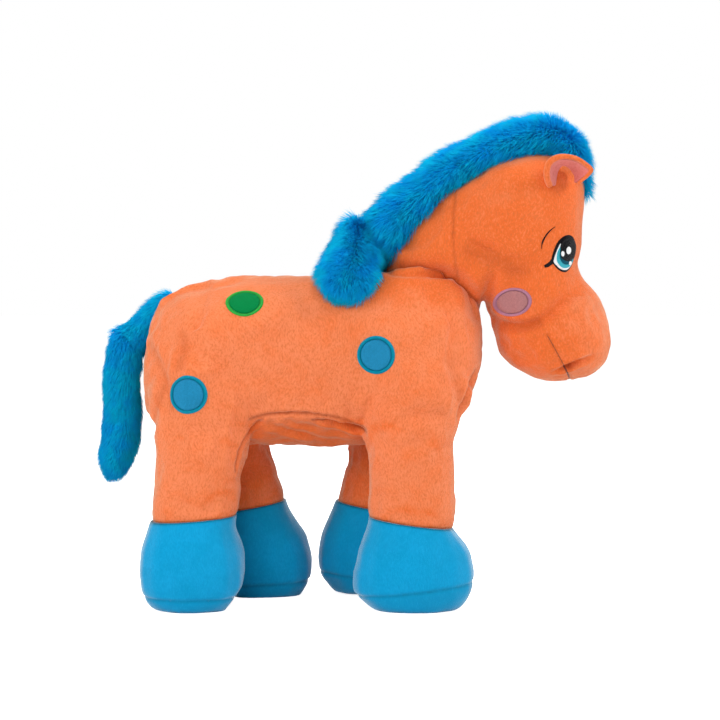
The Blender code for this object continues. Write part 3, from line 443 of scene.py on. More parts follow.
def falloff(far, reach):
    """1 where far is 0, falling off over the reach to either side."""
    return np.exp(-((far / reach) ** 2))


def beside(points, line, reach):
    """1 for points on a line through places, falling off over the reach beside it."""
    return falloff(near_line(points, line)[0], reach)


def crease(points, line, depth, width, lip):
    """A valley along a line, with a low roll of cloth beside it."""
    far, along = near_line(points, line)
    strength = np.sin(np.pi * np.clip(along, 0.02, 0.98)) ** 0.6
    roll = lip * falloff(far - 2.2 * width, width)
    return depth * strength * (roll - falloff(far, width))


def gathers(points, line, depth, reach, spacing, seed):
    """Small puckers across a sewing line, of uneven size."""
    far, along = near_line(points, line)
    length = sum(np.linalg.norm(end - start) for start, end in zip(line, line[1:]))
    way = along * length / spacing
    wave = np.sin(2 * np.pi * way + 1.7 * np.sin(way * 1.3 + seed)) * (0.6 + 0.4 * np.sin(way * 0.7 + seed))
    return depth * wave * falloff(far, reach)


def pushed(points, pushes):
    """Points moved by soft pushes given in millimetres as (centre, reach, move)."""
    points = points.copy()
    for centre, reach, move in pushes:
        away = (points / MM - centre) / reach
        points += np.exp(-np.sum(away**2, axis=1))[:, None] * move * MM
    return points


def both_sides(pushes):
    """The same pushes on the right and on the left."""
    return [
        ((x, y * side, z), reach, (dx, dy * side, dz))
        for (x, y, z), reach, (dx, dy, dz) in pushes
        for side in (RIGHT, LEFT)
    ]


def paint(mesh, name, shares):
    """Writes a share for each point that the velour reads, or raises the one that is there.

    The pile's share is how far the pile lies flat, which makes its colour fuller, and it also holds painted
    shade under the body, low between the legs and on the soles; the seam share is painted shade that
    darkens seams, creases and folds."""
    layer = mesh.attributes.get(name)
    before = np.zeros(len(mesh.vertices), np.float32)
    if layer:
        layer.data.foreach_get("value", before)
    else:
        layer = mesh.attributes.new(name, "FLOAT", "POINT")
    layer.data.foreach_set("value", np.maximum(before, np.clip(shares, 0, 1)).astype(np.float32))


def at_neck_fold(points, reach):
    """1 at the height where the neck meets the body, falling off over the reach above and below."""
    fold = np.array([(x * MM, z * MM) for x, z in NECK_FOLD])
    return falloff(points[:, 2] - np.interp(points[:, 0], fold[:, 0], fold[:, 1]), reach)


def paint_neck_fold_shade(obj, other):
    """Paints shade onto a skin where it meets another in the fold of the neck."""
    tree, points = tree_of(other.name), places(obj.data)
    far = np.array([tree.find_nearest(Vector(place))[3] for place in points])
    paint(obj.data, "seam", 0.85 * falloff(far, 1.5 * MM) * at_neck_fold(points, 4.5 * MM))


def lumps(points, size, stretch=(1.0, 1.0, 1.0), seed=0.0):
    """Uneven filling: soft rises and hollows of about one size, between -1 and 1."""
    scaled = points * (np.array(stretch) / size)
    shift = Vector((seed * 3.1, seed * 1.7, seed * 2.3))
    return np.array([noise.noise(Vector(row) + shift) for row in scaled])


# Cloth effects that several materials use
def once(make):
    """Has a function that makes a material or a node group give the one that is there already."""

    def found_or_made(name, *values, **settings):
        found = bpy.data.materials.get(name) or bpy.data.node_groups.get(name)
        return found or make(name, *values, **settings)

    return found_or_made


def new_group(name, inputs, outputs):
    group = bpy.data.node_groups.new(name, "ShaderNodeTree")
    for way, sockets in (("INPUT", inputs), ("OUTPUT", outputs)):
        for label, kind in sockets.items():
            group.interface.new_socket(name=label, in_out=way, socket_type="NodeSocket" + kind)
    return group, group.nodes.new("NodeGroupInput"), group.nodes.new("NodeGroupOutput")


def new_material(name):
    made = bpy.data.materials.new(name)
    made.use_nodes = True
    return made, made.node_tree, made.node_tree.nodes["Principled BSDF"]


def feed(tree, node, values):
    """Links or sets the inputs of a node, by name or number."""
    for key, value in values.items():
        if isinstance(value, bpy.types.NodeSocket):
            tree.links.new(value, node.inputs[key])
        else:
            node.inputs[key].default_value = value


def add_node(tree, kind, values=None, **settings):
    """A node with its settings and its inputs."""
    made = tree.nodes.new("ShaderNode" + kind)
    for key, value in settings.items():
        setattr(made, key, value)
    feed(tree, made, values or {})
    return made


def mix_colour(tree, share, first, second, blend="MIX"):
    values = {0: share, 6: first, 7: second}
    return add_node(tree, "Mix", values, data_type="RGBA", blend_type=blend).outputs[2]


def mix_value(tree, share, first, second):
    return add_node(tree, "Mix", {0: share, 2: first, 3: second}, data_type="FLOAT").outputs[0]


def ramp(tree, value, stops):
    """A value that runs softly from one share to another between two stops."""
    values = dict(zip(("Value", "From Min", "From Max", "To Min", "To Max"), (value, *stops)))
    return add_node(tree, "MapRange", values, interpolation_type="SMOOTHSTEP").outputs["Result"]


def maths(tree, operation, *values):
    return add_node(tree, "Math", dict(enumerate(values)), operation=operation).outputs[0]


def clouds(tree, place, scale, detail=2.0, roughness=0.5):
    values = {"Vector": place, "Scale": scale, "Detail": detail, "Roughness": roughness}
    return add_node(tree, "TexNoise", values).outputs["Fac"]


def stripes(tree, place, scale, distortion, across):
    values = {"Vector": place, "Scale": scale, "Distortion": distortion}
    return add_node(tree, "TexWave", values, bands_direction=across).outputs["Fac"]


def bumps(tree, height, distance, strength):
    return add_node(tree, "Bump", {"Height": height, "Distance": distance, "Strength": strength}).outputs[0]


def object_place(tree):
    return add_node(tree, "TexCoord").outputs["Object"]


def painted(tree, name):
    return add_node(tree, "Attribute", attribute_name=name).outputs["Fac"]


def solid(colour, share=1.0):
    """A colour, or a darker one, as a socket takes it."""
    return (*[part * share for part in colour], 1)


@once
def velour_group(name):
    """Short velour pile: streaks, patches where the pile lies another way, and fine bumps, darkened by
    painted shade where the skin's painted shares call for it.
    """
    inputs = {"Colour": "Color", "Pale": "Color", "Deep": "Color", "Brushed and shaded": "Color", "Relief": "Float"}
    outputs = {"Colour": "Color", "Roughness": "Float", "Normal": "Vector"}
    group, given, out = new_group(name, inputs, outputs)
    place = object_place(group)
    swirl = add_node(group, "TexNoise", {"Vector": place, "Scale": 26.0, "Detail": 2.0}).outputs["Color"]
    bent = add_node(group, "VectorMath", {0: swirl, 1: (0.5, 0.5, 0.5)}, operation="SUBTRACT").outputs[0]
    shift = add_node(group, "VectorMath", {0: bent, "Scale": 0.018}, operation="SCALE").outputs[0]
    combed = add_node(group, "VectorMath", {0: place, 1: shift}, operation="ADD").outputs[0]
    longways = add_node(group, "Mapping", {"Vector": combed, "Scale": (1.0, 1.0, 0.45)}).outputs[0]
    streaks = clouds(group, longways, 1000.0, 3.0, 0.6)
    tufts = clouds(group, combed, 2200.0)
    patches = clouds(group, combed, 90.0, 3.0, 0.6)
    # The share of flat-lying pile, which also holds painted shade, draws the colour towards the fuller,
    # shaded one
    spread = ramp(group, maths(group, "ADD", patches, painted(group, "nap_and_shade")), (0.45, 1.35, 0.0, 1.0))
    lay = mix_colour(group, spread, given.outputs["Colour"], given.outputs["Brushed and shaded"])
    dark = mix_colour(group, ramp(group, streaks, (0.54, 0.3, 0.0, 0.75)), lay, given.outputs["Deep"])
    pale = mix_colour(group, ramp(group, streaks, (0.46, 0.74, 0.0, 0.42)), dark, given.outputs["Pale"])
    height = maths(group, "ADD", streaks, tufts)
    feed(group, out, {
        # Painted shade: the seam share multiplies the colour by a dark red-brown along seams, creases and
        # folds
        "Colour": mix_colour(group, painted(group, "seam"), pale, (0.3, 0.14, 0.1, 1), "MULTIPLY"),
        "Roughness": ramp(group, patches, (0.3, 0.7, 0.82, 0.98)),
        "Normal": bumps(group, height, 0.0009, given.outputs["Relief"]),
    })
    return group


@once
def velour(name, colour, pale, deep, brushed_and_shaded, relief, sheen, tint):
    """Velour with its shades, the depth of its bumps and its sheen."""
    made, tree, shader = new_material(name)
    values = {"Colour": colour, "Pale": pale, "Deep": deep, "Brushed and shaded": brushed_and_shaded}
    values = {key: solid(value) for key, value in values.items()}
    values["Relief"] = relief
    group = add_node(tree, "Group", values, node_tree=velour_group("velour pile"))
    feed(tree, shader, {
        "Base Color": group.outputs["Colour"],
        "Roughness": group.outputs["Roughness"],
        "Normal": group.outputs["Normal"],
        "Specular IOR Level": 0.12,
        "Sheen Weight": sheen,
        "Sheen Roughness": 0.35,
        "Sheen Tint": solid(tint),
    })
    return made


@once
def fur_material(name, root, tip):
    """Pile with painted light, shade at its darker root and a highlight at its lighter tip, and locks of
    uneven tone; UV holds lock and way along it.
    """
    made, tree, shader = new_material(name)
    uv = add_node(tree, "UVMap", uv_map="locks").outputs[0]
    split = add_node(tree, "SeparateXYZ", {0: uv})
    along = ramp(tree, split.outputs["Y"], (0.05, 0.95, 0.0, 1.0))
    # Painted light: darker roots for the shade deep in the pile, running to the tip colour, a painted
    # highlight where the ends catch light
    base = mix_colour(tree, along, solid(root, 0.75), solid(tip))
    patches = ramp(tree, clouds(tree, object_place(tree), 70.0), (0.35, 0.65, 0.75, 0.0))
    toned = mix_colour(tree, patches, base, solid(root))
    lock = ramp(tree, split.outputs["X"], (0.0, 1.0, 0.0, 0.35))
    feed(tree, shader, {
        "Base Color": mix_colour(tree, lock, toned, solid(root, 0.6)),
        "Roughness": 0.7,
        "Specular IOR Level": 0.08,
        "Sheen Weight": 0.25,
        "Sheen Roughness": 0.5,
        "Sheen Tint": (0.0, 0.6, 1.0, 1),
    })
    return made


@once
def fur_backing(name, colour):
    """The matted foot of the pile, which shows between the locks, painted dark as shade deep in the pile.
    """
    made, tree, shader = new_material(name)
    pile = clouds(tree, object_place(tree), 700.0, 3.0)
    shade = ramp(tree, pile, (0.35, 0.65, 0.0, 1.0))
    feed(tree, shader, {
        # Painted shade: the backing darkens to about a third of the fur's colour in uneven patches
        "Base Color": mix_colour(tree, shade, solid(colour, 0.35), solid(colour)),
        "Normal": bumps(tree, pile, 0.0015, 0.8),
        "Roughness": 0.9,
        "Specular IOR Level": 0.1,
    })
    return made


def orange_velour():
    """The velour of the body and the head."""
    red, green, blue = bpy.context.scene.horse_cloth.orange
    pale = (min(1, red * 1.12), green * 1.35, blue * 1.6)
    deep = (red * 0.8, green * 0.68, blue * 0.5)
    # The fuller colour of pile that lies flat, also the painted shade under the body and low between the
    # legs
    brushed_and_shaded = (red * 0.98, green * 0.66, blue * 0.3)
    return velour("orange velour", (red, green, blue), pale, deep, brushed_and_shaded, 0.5, 0.7, (1.0, 0.8, 0.6))


def blue_velour():
    """The smoother velour of the hooves."""
    red, green, blue = bpy.context.scene.horse_cloth.hoof_blue
    pale = (red + 0.01, green * 1.14, blue * 1.1)
    deep = (red, green * 0.84, blue * 0.88)
    # The fuller colour of pile that lies flat, also the painted shade on the soles
    brushed_and_shaded = (red, green * 0.86, blue * 0.84)
    return velour("hoof velour", (red, green, blue), pale, deep, brushed_and_shaded, 0.25, 1.0, (0.75, 0.92, 1.0))


# Body and legs
FOOT_HEIGHT = 2 * MM
FOOT_RUN = 14 * MM


def column(node):
    """A leg's form, run on downwards past the ankle so that the seam is cut from a full tube."""
    bm = node_copy(node)
    low = min(vert.co.z for vert in bm.verts)
    foot = [vert.co.copy() for vert in bm.verts if vert.co.z < low + FOOT_HEIGHT]
    for place in foot:
        bm.verts.new(place - Vector((0, 0, FOOT_RUN)))
    return hull_of(bm)


# Seams in millimetres as ((ahead, height), slope)
ANKLE_SEAMS = {
    "hind_right": ((-110, 62.5), 0.075),
    "hind_left": ((-76, 63), 0.17),
    "fore_right": ((40, 59.8), -0.135),
    "fore_left": ((13, 63), -0.17),
}


def seam_plane(seam):
    """A place on the plane of a seam and the way up from it."""
    (ahead, height), slope = seam
    return Vector((ahead * MM, 0, height * MM)), Vector((-slope, 0, 1)).normalized()


def ways_of(leg):
    """The side that a leg stands on, and 1 for a foreleg or -1 for a hind leg."""
    return (RIGHT if leg.endswith("right") else LEFT), (1 if leg.startswith("fore") else -1)


def above_ankle(points, leg):
    """How far points lie above a leg's ankle seam, and which of them may be that leg's."""
    point, normal = seam_plane(ANKLE_SEAMS[leg])
    mine = (points[:, 1] * ways_of(leg)[0] > 0) & (np.abs(points[:, 0] - point.x) < LEG_REACH)
    return (points - np.array(point)) @ np.array(normal), mine


def leg_bend(leg):
    """The body, the leg and the two places that carry is given for cloth between them; it does not bend the
    cloth.
    """
    hip = JOINTS[HIPS[leg]]["pos_m"]
    return "trunk", "leg_" + leg, (hip[0], hip[1], BEND_START), (hip[0], hip[1], BEND_END)


def body_form():
    """The body and the legs as one stuffed skin, held at its seams while its filling presses out."""
    forms = [hull_of(node_copy("trunk_cover"))]
    forms += [column("leg_cover_" + leg) for leg in HIPS]
    body = remesh(to_object("body_form", *forms), bpy.context.scene.horse_sizes.cloth_grid)
    relax(body, 5)
    tree = tree_of(body.name)
    points = places(body.data)
    held = 0.9 * falloff(points[:, 1], 3 * MM)
    for (line,) in on_both_sides(tree, [[BELLY_SEAM], [THIGH_SEAM], [SHOULDER_FOLD], [RUMP_FOLD]]):
        held = np.maximum(held, beside(points, line, 4 * MM))
    for leg in HIPS:
        above, mine = above_ankle(points, leg)
        held[mine & (above < 2.5 * MM)] = 1.0
    most = np.interp(points[:, 2], [95 * MM, 125 * MM], [1.0 * MM, 2.3 * MM])
    filled(body, held, 0.05, most)
    return smoothed(relax(body, 1), 1)


# Sewing lines and folds in millimetres as (ahead, height)
BELLY_SEAM = [(-69.5, 131), (-61.4, 134), (-42.4, 135.5), (-22.1, 134.8), (-5.2, 131.5), (9.1, 124)]
BELLY_FOLD = [(-27.5, 131), (-11.9, 129), (-0.4, 125.5), (8.4, 122)]
BELLY_ROLL = [(-56, 127), (-45.8, 123), (-35.6, 120), (-23.4, 117.5)]
THIGH_SEAM = [(-61.4, 132), (-69.5, 123.2), (-76.3, 111.1), (-80, 96)]
RUMP_FOLD = [(-139, 181), (-131, 167), (-126, 153), (-122, 141)]
RUMP_HOLLOW = [(-128, 155), (-134, 138), (-137, 122)]
SHOULDER_FOLD = [(66, 170), (72, 150), (74, 130)]
FORELEG_FOLD = [(14, 120), (28, 112), (44, 116), (58, 124)]
FORELEG_HOLLOW = [(12, 108), (24, 102), (36, 104)]
BACK_FOLD = [(-40, 222), (-30, 210), (-24, 196)]
NECK_FOLD = [(16, 233), (30, 230.5), (47, 230), (64, 228), (76, 222), (85, 213), (90, 207)]
CHEST_FOLD = [(84, 164), (81, 156), (76, 143), (71.5, 133)]
HAUNCH_FOLD = [(-116, 190), (-114, 178), (-117, 168)]
BODY_PUSHES = [
    *both_sides([
        ((78, 34, 124), (18, 45, 24), (-6.0, 0, 0)),
        ((-138, 34, 114), (15, 45, 22), (3.4, 0, 0)),
        ((72, 34, 92), (14, 45, 22), (-1.8, 0, 0)),
        ((52, 30, 220), (36, 16, 14), (0, 3, 13)),
        ((-30, 48, 132), (40, 14, 12), (0, 1.6, 0)),
    ]),
    ((-6, 34, 84), (14, 30, 30), (4.2, 0, 0)),
    ((-60, 34, 108), (16, 30, 18), (-3.5, 0, 0)),
    ((-54, 34, 64), (14, 30, 14), (1.5, 0, 0)),
    ((-147, 0, 165), (18, 70, 38), (2.4, 0, 0)),
    ((-110, 0, 224), (24, 45, 14), (0, 0, -3.8)),
    ((90, 0, 185), (15, 60, 40), (-0.3, 0, 0)),
]
BODY_CREASES = [
    (CHEST_FOLD, 2.6, 2.6, 0.6),
    (HAUNCH_FOLD, 1.7, 3.8, 0.15),
    (NECK_FOLD, 3.0, 2.4, 0.4),
    (BELLY_SEAM, 1.7, 1.3, 0.3),
    (BELLY_FOLD, 3.8, 2.2, 0.5),
    (BELLY_ROLL, 2.2, 2.6, 0.6),
    (THIGH_SEAM, 1.9, 1.4, 0.4),
    (RUMP_FOLD, 1.9, 4.6, 0.15),
    (RUMP_HOLLOW, 2.0, 4.2, 0.15),
    (SHOULDER_FOLD, 1.3, 4.5, 0.35),
    (FORELEG_FOLD, 1.3, 4.0, 0.45),
    (FORELEG_HOLLOW, 1.4, 4.5, 0.35),
    (BACK_FOLD, 0.9, 5.0, 0.35),
]
BODY_GATHERS = [(THIGH_SEAM, 0.6, 7, 2.0), (BELLY_SEAM, 0.5, 8, 4.0)]

# Lines along which shade is painted, with its share and reach
PAINTED_SHADE_LINES = [
    (BELLY_SEAM, 0.55, 1.1), (BELLY_FOLD, 0.75, 1.1), (THIGH_SEAM, 0.4, 1.1), (CHEST_FOLD, 0.35, 1.1),
    (HAUNCH_FOLD, 0.16, 3.2), (RUMP_FOLD, 0.18, 3.4), (RUMP_HOLLOW, 0.2, 3.4), (SHOULDER_FOLD, 0.12, 4.0),
]


def sculpt_body(body):
    """Seams, folds and uneven filling on the body and the legs, with shade painted along the seams and
    folds and under the body.
    """
    mesh = body.data
    set_places(mesh, pushed(places(mesh), BODY_PUSHES))
    tree = tree_of(body.name)
    points, out = places(mesh), directions(mesh)
    move = 1.1 * MM * lumps(points, 30 * MM, seed=1)
    move += 0.5 * MM * lumps(points, 13 * MM, (1.0, 1.0, 0.7), seed=2)
    move += 0.22 * MM * lumps(points, 6 * MM, seed=3)
    # Painted shade along seams, folds and the ankle grooves
    dark = np.zeros(len(points))
    for line, depth, width, lip in on_both_sides(tree, BODY_CREASES):
        move += crease(points, line, depth * MM, width * MM, lip)
    for line, depth, spacing, seed in on_both_sides(tree, BODY_GATHERS):
        move += gathers(points, line, depth * MM, 5 * MM, spacing * MM, seed)
    for line, share, width in on_both_sides(tree, PAINTED_SHADE_LINES):
        dark = np.maximum(dark, share * beside(points, line, width * MM))
    for leg, joint in HIPS.items():
        above, on_leg = above_ankle(points, leg)
        on_leg &= points[:, 2] < LEG_TOP
        aside = np.abs(points[:, 1] - JOINTS[joint]["pos_m"][1])
        seam = falloff(aside, 1.5 * MM) * (np.abs(out[:, 0]) > 0.6)
        groove = falloff(above, 1.0 * MM) * on_leg
        move -= 0.9 * MM * seam * on_leg
        move -= 0.35 * MM * groove
        # Painted shade in the groove of the ankle seam
        dark = np.maximum(dark, 0.8 * groove)
    move -= 0.8 * MM * falloff(points[:, 1], 1.4 * MM) * (out[:, 2] > 0.3)
    set_places(mesh, points + out * move[:, None])
    ahead, aside, height = points.T
    # Painted shade: the underside below the belly seam where it faces down, and the inner sides low between
    # the legs, take the fuller colour where shade falls; near the mane and in the patches it is the pile's
    # own lie
    under = np.clip((134 * MM - height) / (8 * MM), 0, 1) * np.clip(-out[:, 2] * 2, 0, 1)
    high = np.clip((height - 205 * MM) / (22 * MM), 0, 1) * np.clip((ahead + 40 * MM) / (60 * MM), 0, 1)
    inner = np.clip(1 - np.abs(aside) / (32 * MM), 0, 1) * (height < 110 * MM)
    patches = 0.25 * lumps(points, 45 * MM, seed=5) + 0.15 * lumps(points, 20 * MM, seed=6)
    paint(mesh, "nap_and_shade", 0.14 + 0.7 * under + 0.75 * high + 0.6 * inner + patches)
    paint(mesh, "seam", dark)


def draw_in(points, stub, hip, past):
    """Draws a stub in towards its leg's middle, the more the deeper it runs inside the other skin."""
    flat = points[stub, :2] - (points[stub, 0].mean(), hip[1])
    far = np.linalg.norm(flat, axis=1, keepdims=True)
    points[stub, :2] -= flat / np.maximum(far, MM) * (LEG_DIP * past[stub] ** 2)[:, None]


def cut_leg(body, leg):
    """One leg's skin, closed at the ankle seam, its top hidden inside the body's skin."""
    side, forward = ways_of(leg)
    skin = duplicate(body, "leg_skin_" + leg)
    keep_side(skin, Vector((0, 0, LEG_TOP + LEG_OVERLAP)), -UP)
    keep_side(skin, Vector((0, 0, 0)), Vector((0, side, 0)))
    keep_side(skin, Vector((MID_BODY, 0, 0)), forward * AHEAD)
    keep_side(skin, *seam_plane(ANKLE_SEAMS[leg]))
    points = places(skin.data)
    past = np.clip((points[:, 2] - LEG_TOP) / LEG_OVERLAP, 0, None)
    draw_in(points, past > 0, JOINTS[HIPS[leg]]["pos_m"], past)
    set_places(skin.data, points)
    return skin


def cut_trunk(body):
    """The body's skin, with four short stubs hidden inside the leg skins."""
    skin = duplicate(body, "trunk_skin")
    keep_side(skin, Vector((0, 0, LEG_TOP - LEG_OVERLAP)), UP)
    points = places(skin.data)
    past = np.clip((LEG_TOP - points[:, 2]) / LEG_OVERLAP, 0, None)
    for leg, joint in HIPS.items():
        side, forward = ways_of(leg)
        stub = (points[:, 1] * side > 0) & ((points[:, 0] - MID_BODY) * forward > 0) & (past > 0)
        draw_in(points, stub, JOINTS[joint]["pos_m"], past)
    set_places(skin.data, points)
    return skin


class HORSE_OT_body(bpy.types.Operator):
    """Sew the velour skin of the body and the four legs"""

    bl_idname = "horse.body"
    bl_label = "Body and legs"

    def execute(self, context):
        body = body_form()
        sculpt_body(body)
        cloth = orange_velour()
        nodes = ["trunk_cover", "trunk_stuffing"]
        finish_skin(cut_trunk(body), cloth, "orange_velour", nodes, ["trunk"], SKIN_PADDING)
        for leg in HIPS:
            nodes = ["leg_cover_" + leg, "leg_stuffing_" + leg]
            finish_skin(cut_leg(body, leg), cloth, "orange_velour", nodes, leg_bend(leg), SKIN_PADDING)
        bpy.data.objects.remove(body, do_unlink=True)
        return {"FINISHED"}


# Hooves
SOLE_SEAMS = {
    "hind_right": ((-110, 9), 0.0),
    "hind_left": ((-65, 9), 0.04),
    "fore_right": ((44, 14.5), 0.12),
    "fore_left": ((15, 13), -0.1),
}
HOOF_PUSHES = {
    "hind_right": [((-84, -34, 0), (20, 30, 15), (-4.5, 0, 0.8))],
    "hind_left": [],
    "fore_right": [
        ((5, -34, 14), (14, 30, 16), (-3.5, 0, -1)),
        ((74, -34, 58), (14, 30, 13), (-4, 0, 0)),
    ],
    "fore_left": [((-12, 34, 6), (14, 30, 9), (3, 0, 2))],
}


def stuffed_hoof(leg):
    """A hoof's skin with the shin above it, its sole's edges rounded."""
    bm = node_copy("hoof_cover_" + leg)
    for place in [v.co.copy() for v in node_copy("leg_cover_" + leg).verts if v.co.z < 68 * MM]:
        bm.verts.new(place)
    forms = [grow(form, 0.8 * MM) for form in (hull_of(bm), column("leg_cover_" + leg))]
    hoof = remesh(to_object("hoof_form_" + leg, *forms), bpy.context.scene.horse_sizes.fine_grid)
    sharp = places(relax(hoof, 6).data)
    soft = places(relax(hoof, 14).data)
    low = np.clip((15 * MM - sharp[:, 2]) / (9 * MM), 0, 1)[:, None]
    set_places(hoof.data, sharp + (soft - sharp) * low)
    keep_side(hoof, Vector((0, 0, 90 * MM)), -UP)
    return smoothed(hoof, 1)


def hoof_form(leg):
    """A stuffed hoof with its seams and its uneven filling, and shade painted along its seams and on its
    sole; it meets the leg as the leg was pushed.
    """
    hoof = stuffed_hoof(leg)
    mesh = hoof.data
    points = places(mesh)
    with_leg = np.clip((points[:, 2] - 42 * MM) / (18 * MM), 0, 1)[:, None]
    points += (pushed(points, BODY_PUSHES) - points) * with_leg
    set_places(mesh, pushed(points, HOOF_PUSHES[leg]))
    points, out = places(mesh), directions(mesh)
    (ahead, height), slope = SOLE_SEAMS[leg]
    sole = points[:, 2] - height * MM - slope * (points[:, 0] - ahead * MM)
    seed = 7 + list(HIPS).index(leg)
    move = 0.5 * MM * lumps(points, 22 * MM, seed=seed) + 0.2 * MM * lumps(points, 8 * MM, seed=seed + 0.5)
    groove = falloff(above_ankle(points, leg)[0], 1.0 * MM)
    edge = falloff(sole, 1.2 * MM) * (np.abs(out[:, 2]) < 0.93)
    aside = np.abs(points[:, 1] - JOINTS[HIPS[leg]]["pos_m"][1])
    move -= 0.35 * MM * groove
    move -= 0.8 * MM * edge
    move -= 0.5 * MM * falloff(aside, 1.3 * MM) * (np.abs(out[:, 0]) > 0.5) * (sole > 0)
    points += out * move[:, None]
    points[:, 2] = np.maximum(points[:, 2], 0.0)
    set_places(mesh, points)
    # Painted shade: the sole below its seam takes the deeper colour; elsewhere the pile lies flat in uneven
    # patches
    paint(mesh, "nap_and_shade", 0.3 + 0.4 * lumps(points, 25 * MM, seed=seed + 3) + 0.6 * (sole < 0))
    # Painted shade in the ankle seam's groove and along the sole's edge
    paint(mesh, "seam", np.maximum(0.8 * groove, 0.3 * edge))
    return hoof


class HORSE_OT_hooves(bpy.types.Operator):
    """Sew the blue velour hooves and their soles"""

    bl_idname = "horse.hooves"
    bl_label = "Hooves"

    def execute(self, context):
        cloth = blue_velour()
        for leg in HIPS:
            ankle, up = seam_plane(ANKLE_SEAMS[leg])
            form = keep_side(hoof_form(leg), ankle, -up)
            seam, up = seam_plane(SOLE_SEAMS[leg])
            sole = keep_side(duplicate(form, "sole_skin_" + leg), seam, -up)
            hoof = keep_side(duplicate(form, "hoof_skin_" + leg), seam, up)
            bpy.data.objects.remove(form, do_unlink=True)
            for piece, node in ((hoof, "hoof_cover_"), (sole, "hoof_sole_")):
                finish_skin(piece, cloth, "blue_velour", [node + leg], ["leg_" + leg], SKIN_PADDING)
        return {"FINISHED"}


# Head and neck
def head_form():
    """The head and the neck as one stuffed skin, held at its seams while its filling presses out."""
    head = grow(node_copy("head_stuffing"), 2.3 * MM)
    bridge_of_neck = node_copy("neck_cover")
    for vert in head.verts:
        if vert.co.x < 98 * MM and vert.co.z > 226 * MM:
            bridge_of_neck.verts.new(vert.co)
    whole = to_object("head_form", head, hull_of(bridge_of_neck))
    form = remesh(whole, bpy.context.scene.horse_sizes.cloth_grid)
    relax(form, 5)
    points = places(form.data)
    tree = tree_of(form.name)
    held = falloff(points[:, 0] - HEAD_SEAM, 3.5 * MM)
    held = np.maximum(held, beside(points, mouth_line(tree), 3.5 * MM))
    for (line,) in on_both_sides(tree, [[MUZZLE_FOLD]]):
        held = np.maximum(held, 0.8 * beside(points, line, 4 * MM))
    filled(form, held, 0.04, 1.4 * MM)
    return smoothed(relax(form, 1), 1)


CHEEK_FOLD = [(79.5, 254), (90, 250), (101, 247)]
EYE_FOLD = [(98, 243), (108, 240), (118, 241)]
MUZZLE_FOLD = [(97, 199), (104, 195.5), (115, 194.5), (128.8, 198.3), (141.5, 209.7), (156, 219)]
# Lines along which shade is painted below the muzzle and the cheek, and their shares and reaches
MUZZLE_SHADE = [(104, 195.5), (115, 194.5), (126, 197)]
CHEEK_SHADE = [(80, 246), (91, 242), (103, 238), (114, 232)]
HEAD_SHADES = [(MUZZLE_SHADE, 0.35, 3.5), (CHEEK_SHADE, 0.24, 6.0)]
MOUTH_TUCK = [(138, 162.5), (143, 164.5), (148, 167), (154, 170), (163, 173)]
HEAD_PUSHES = [
    ((161, 0, 229), (14, 70, 14), (-5.0, 0, 0)),
    ((163, 0, 262), (14, 70, 22), (-2.8, 0, 0)),
    ((178, 0, 205), (16, 70, 28), (-3.0, 0, 0)),
    ((104, 0, 172), (18, 70, 17), (-1.2, 0, -1.2)),
]
HEAD_CREASES = [
    (CHEEK_FOLD, 1.7, 2.4, 0.8),
    (EYE_FOLD, 1.2, 3.0, 0.5),
    (MUZZLE_FOLD, 3.4, 3.2, 0.35),
    (MOUTH_TUCK, 3.2, 1.9, 0.55),
]
MOUTH_HEART = Vector((133, 0, 188)) * MM
MOUTH_DOWN = Vector((0.492, 0, -0.870))
MOUTH_CORNER = (147.6, 166.2)


def mouth_line(tree, reach=92, count=41):
    """The mouth's sewing line, round the underside of the muzzle from cheek to cheek."""
    found = []
    for turn in np.linspace(-reach, reach, count):
        angle = math.radians(turn)
        way = MOUTH_DOWN * math.cos(angle) + Vector((0, 1, 0)) * math.sin(angle)
        found.append(np.array(tree.ray_cast(MOUTH_HEART, way)[0]))
    return found


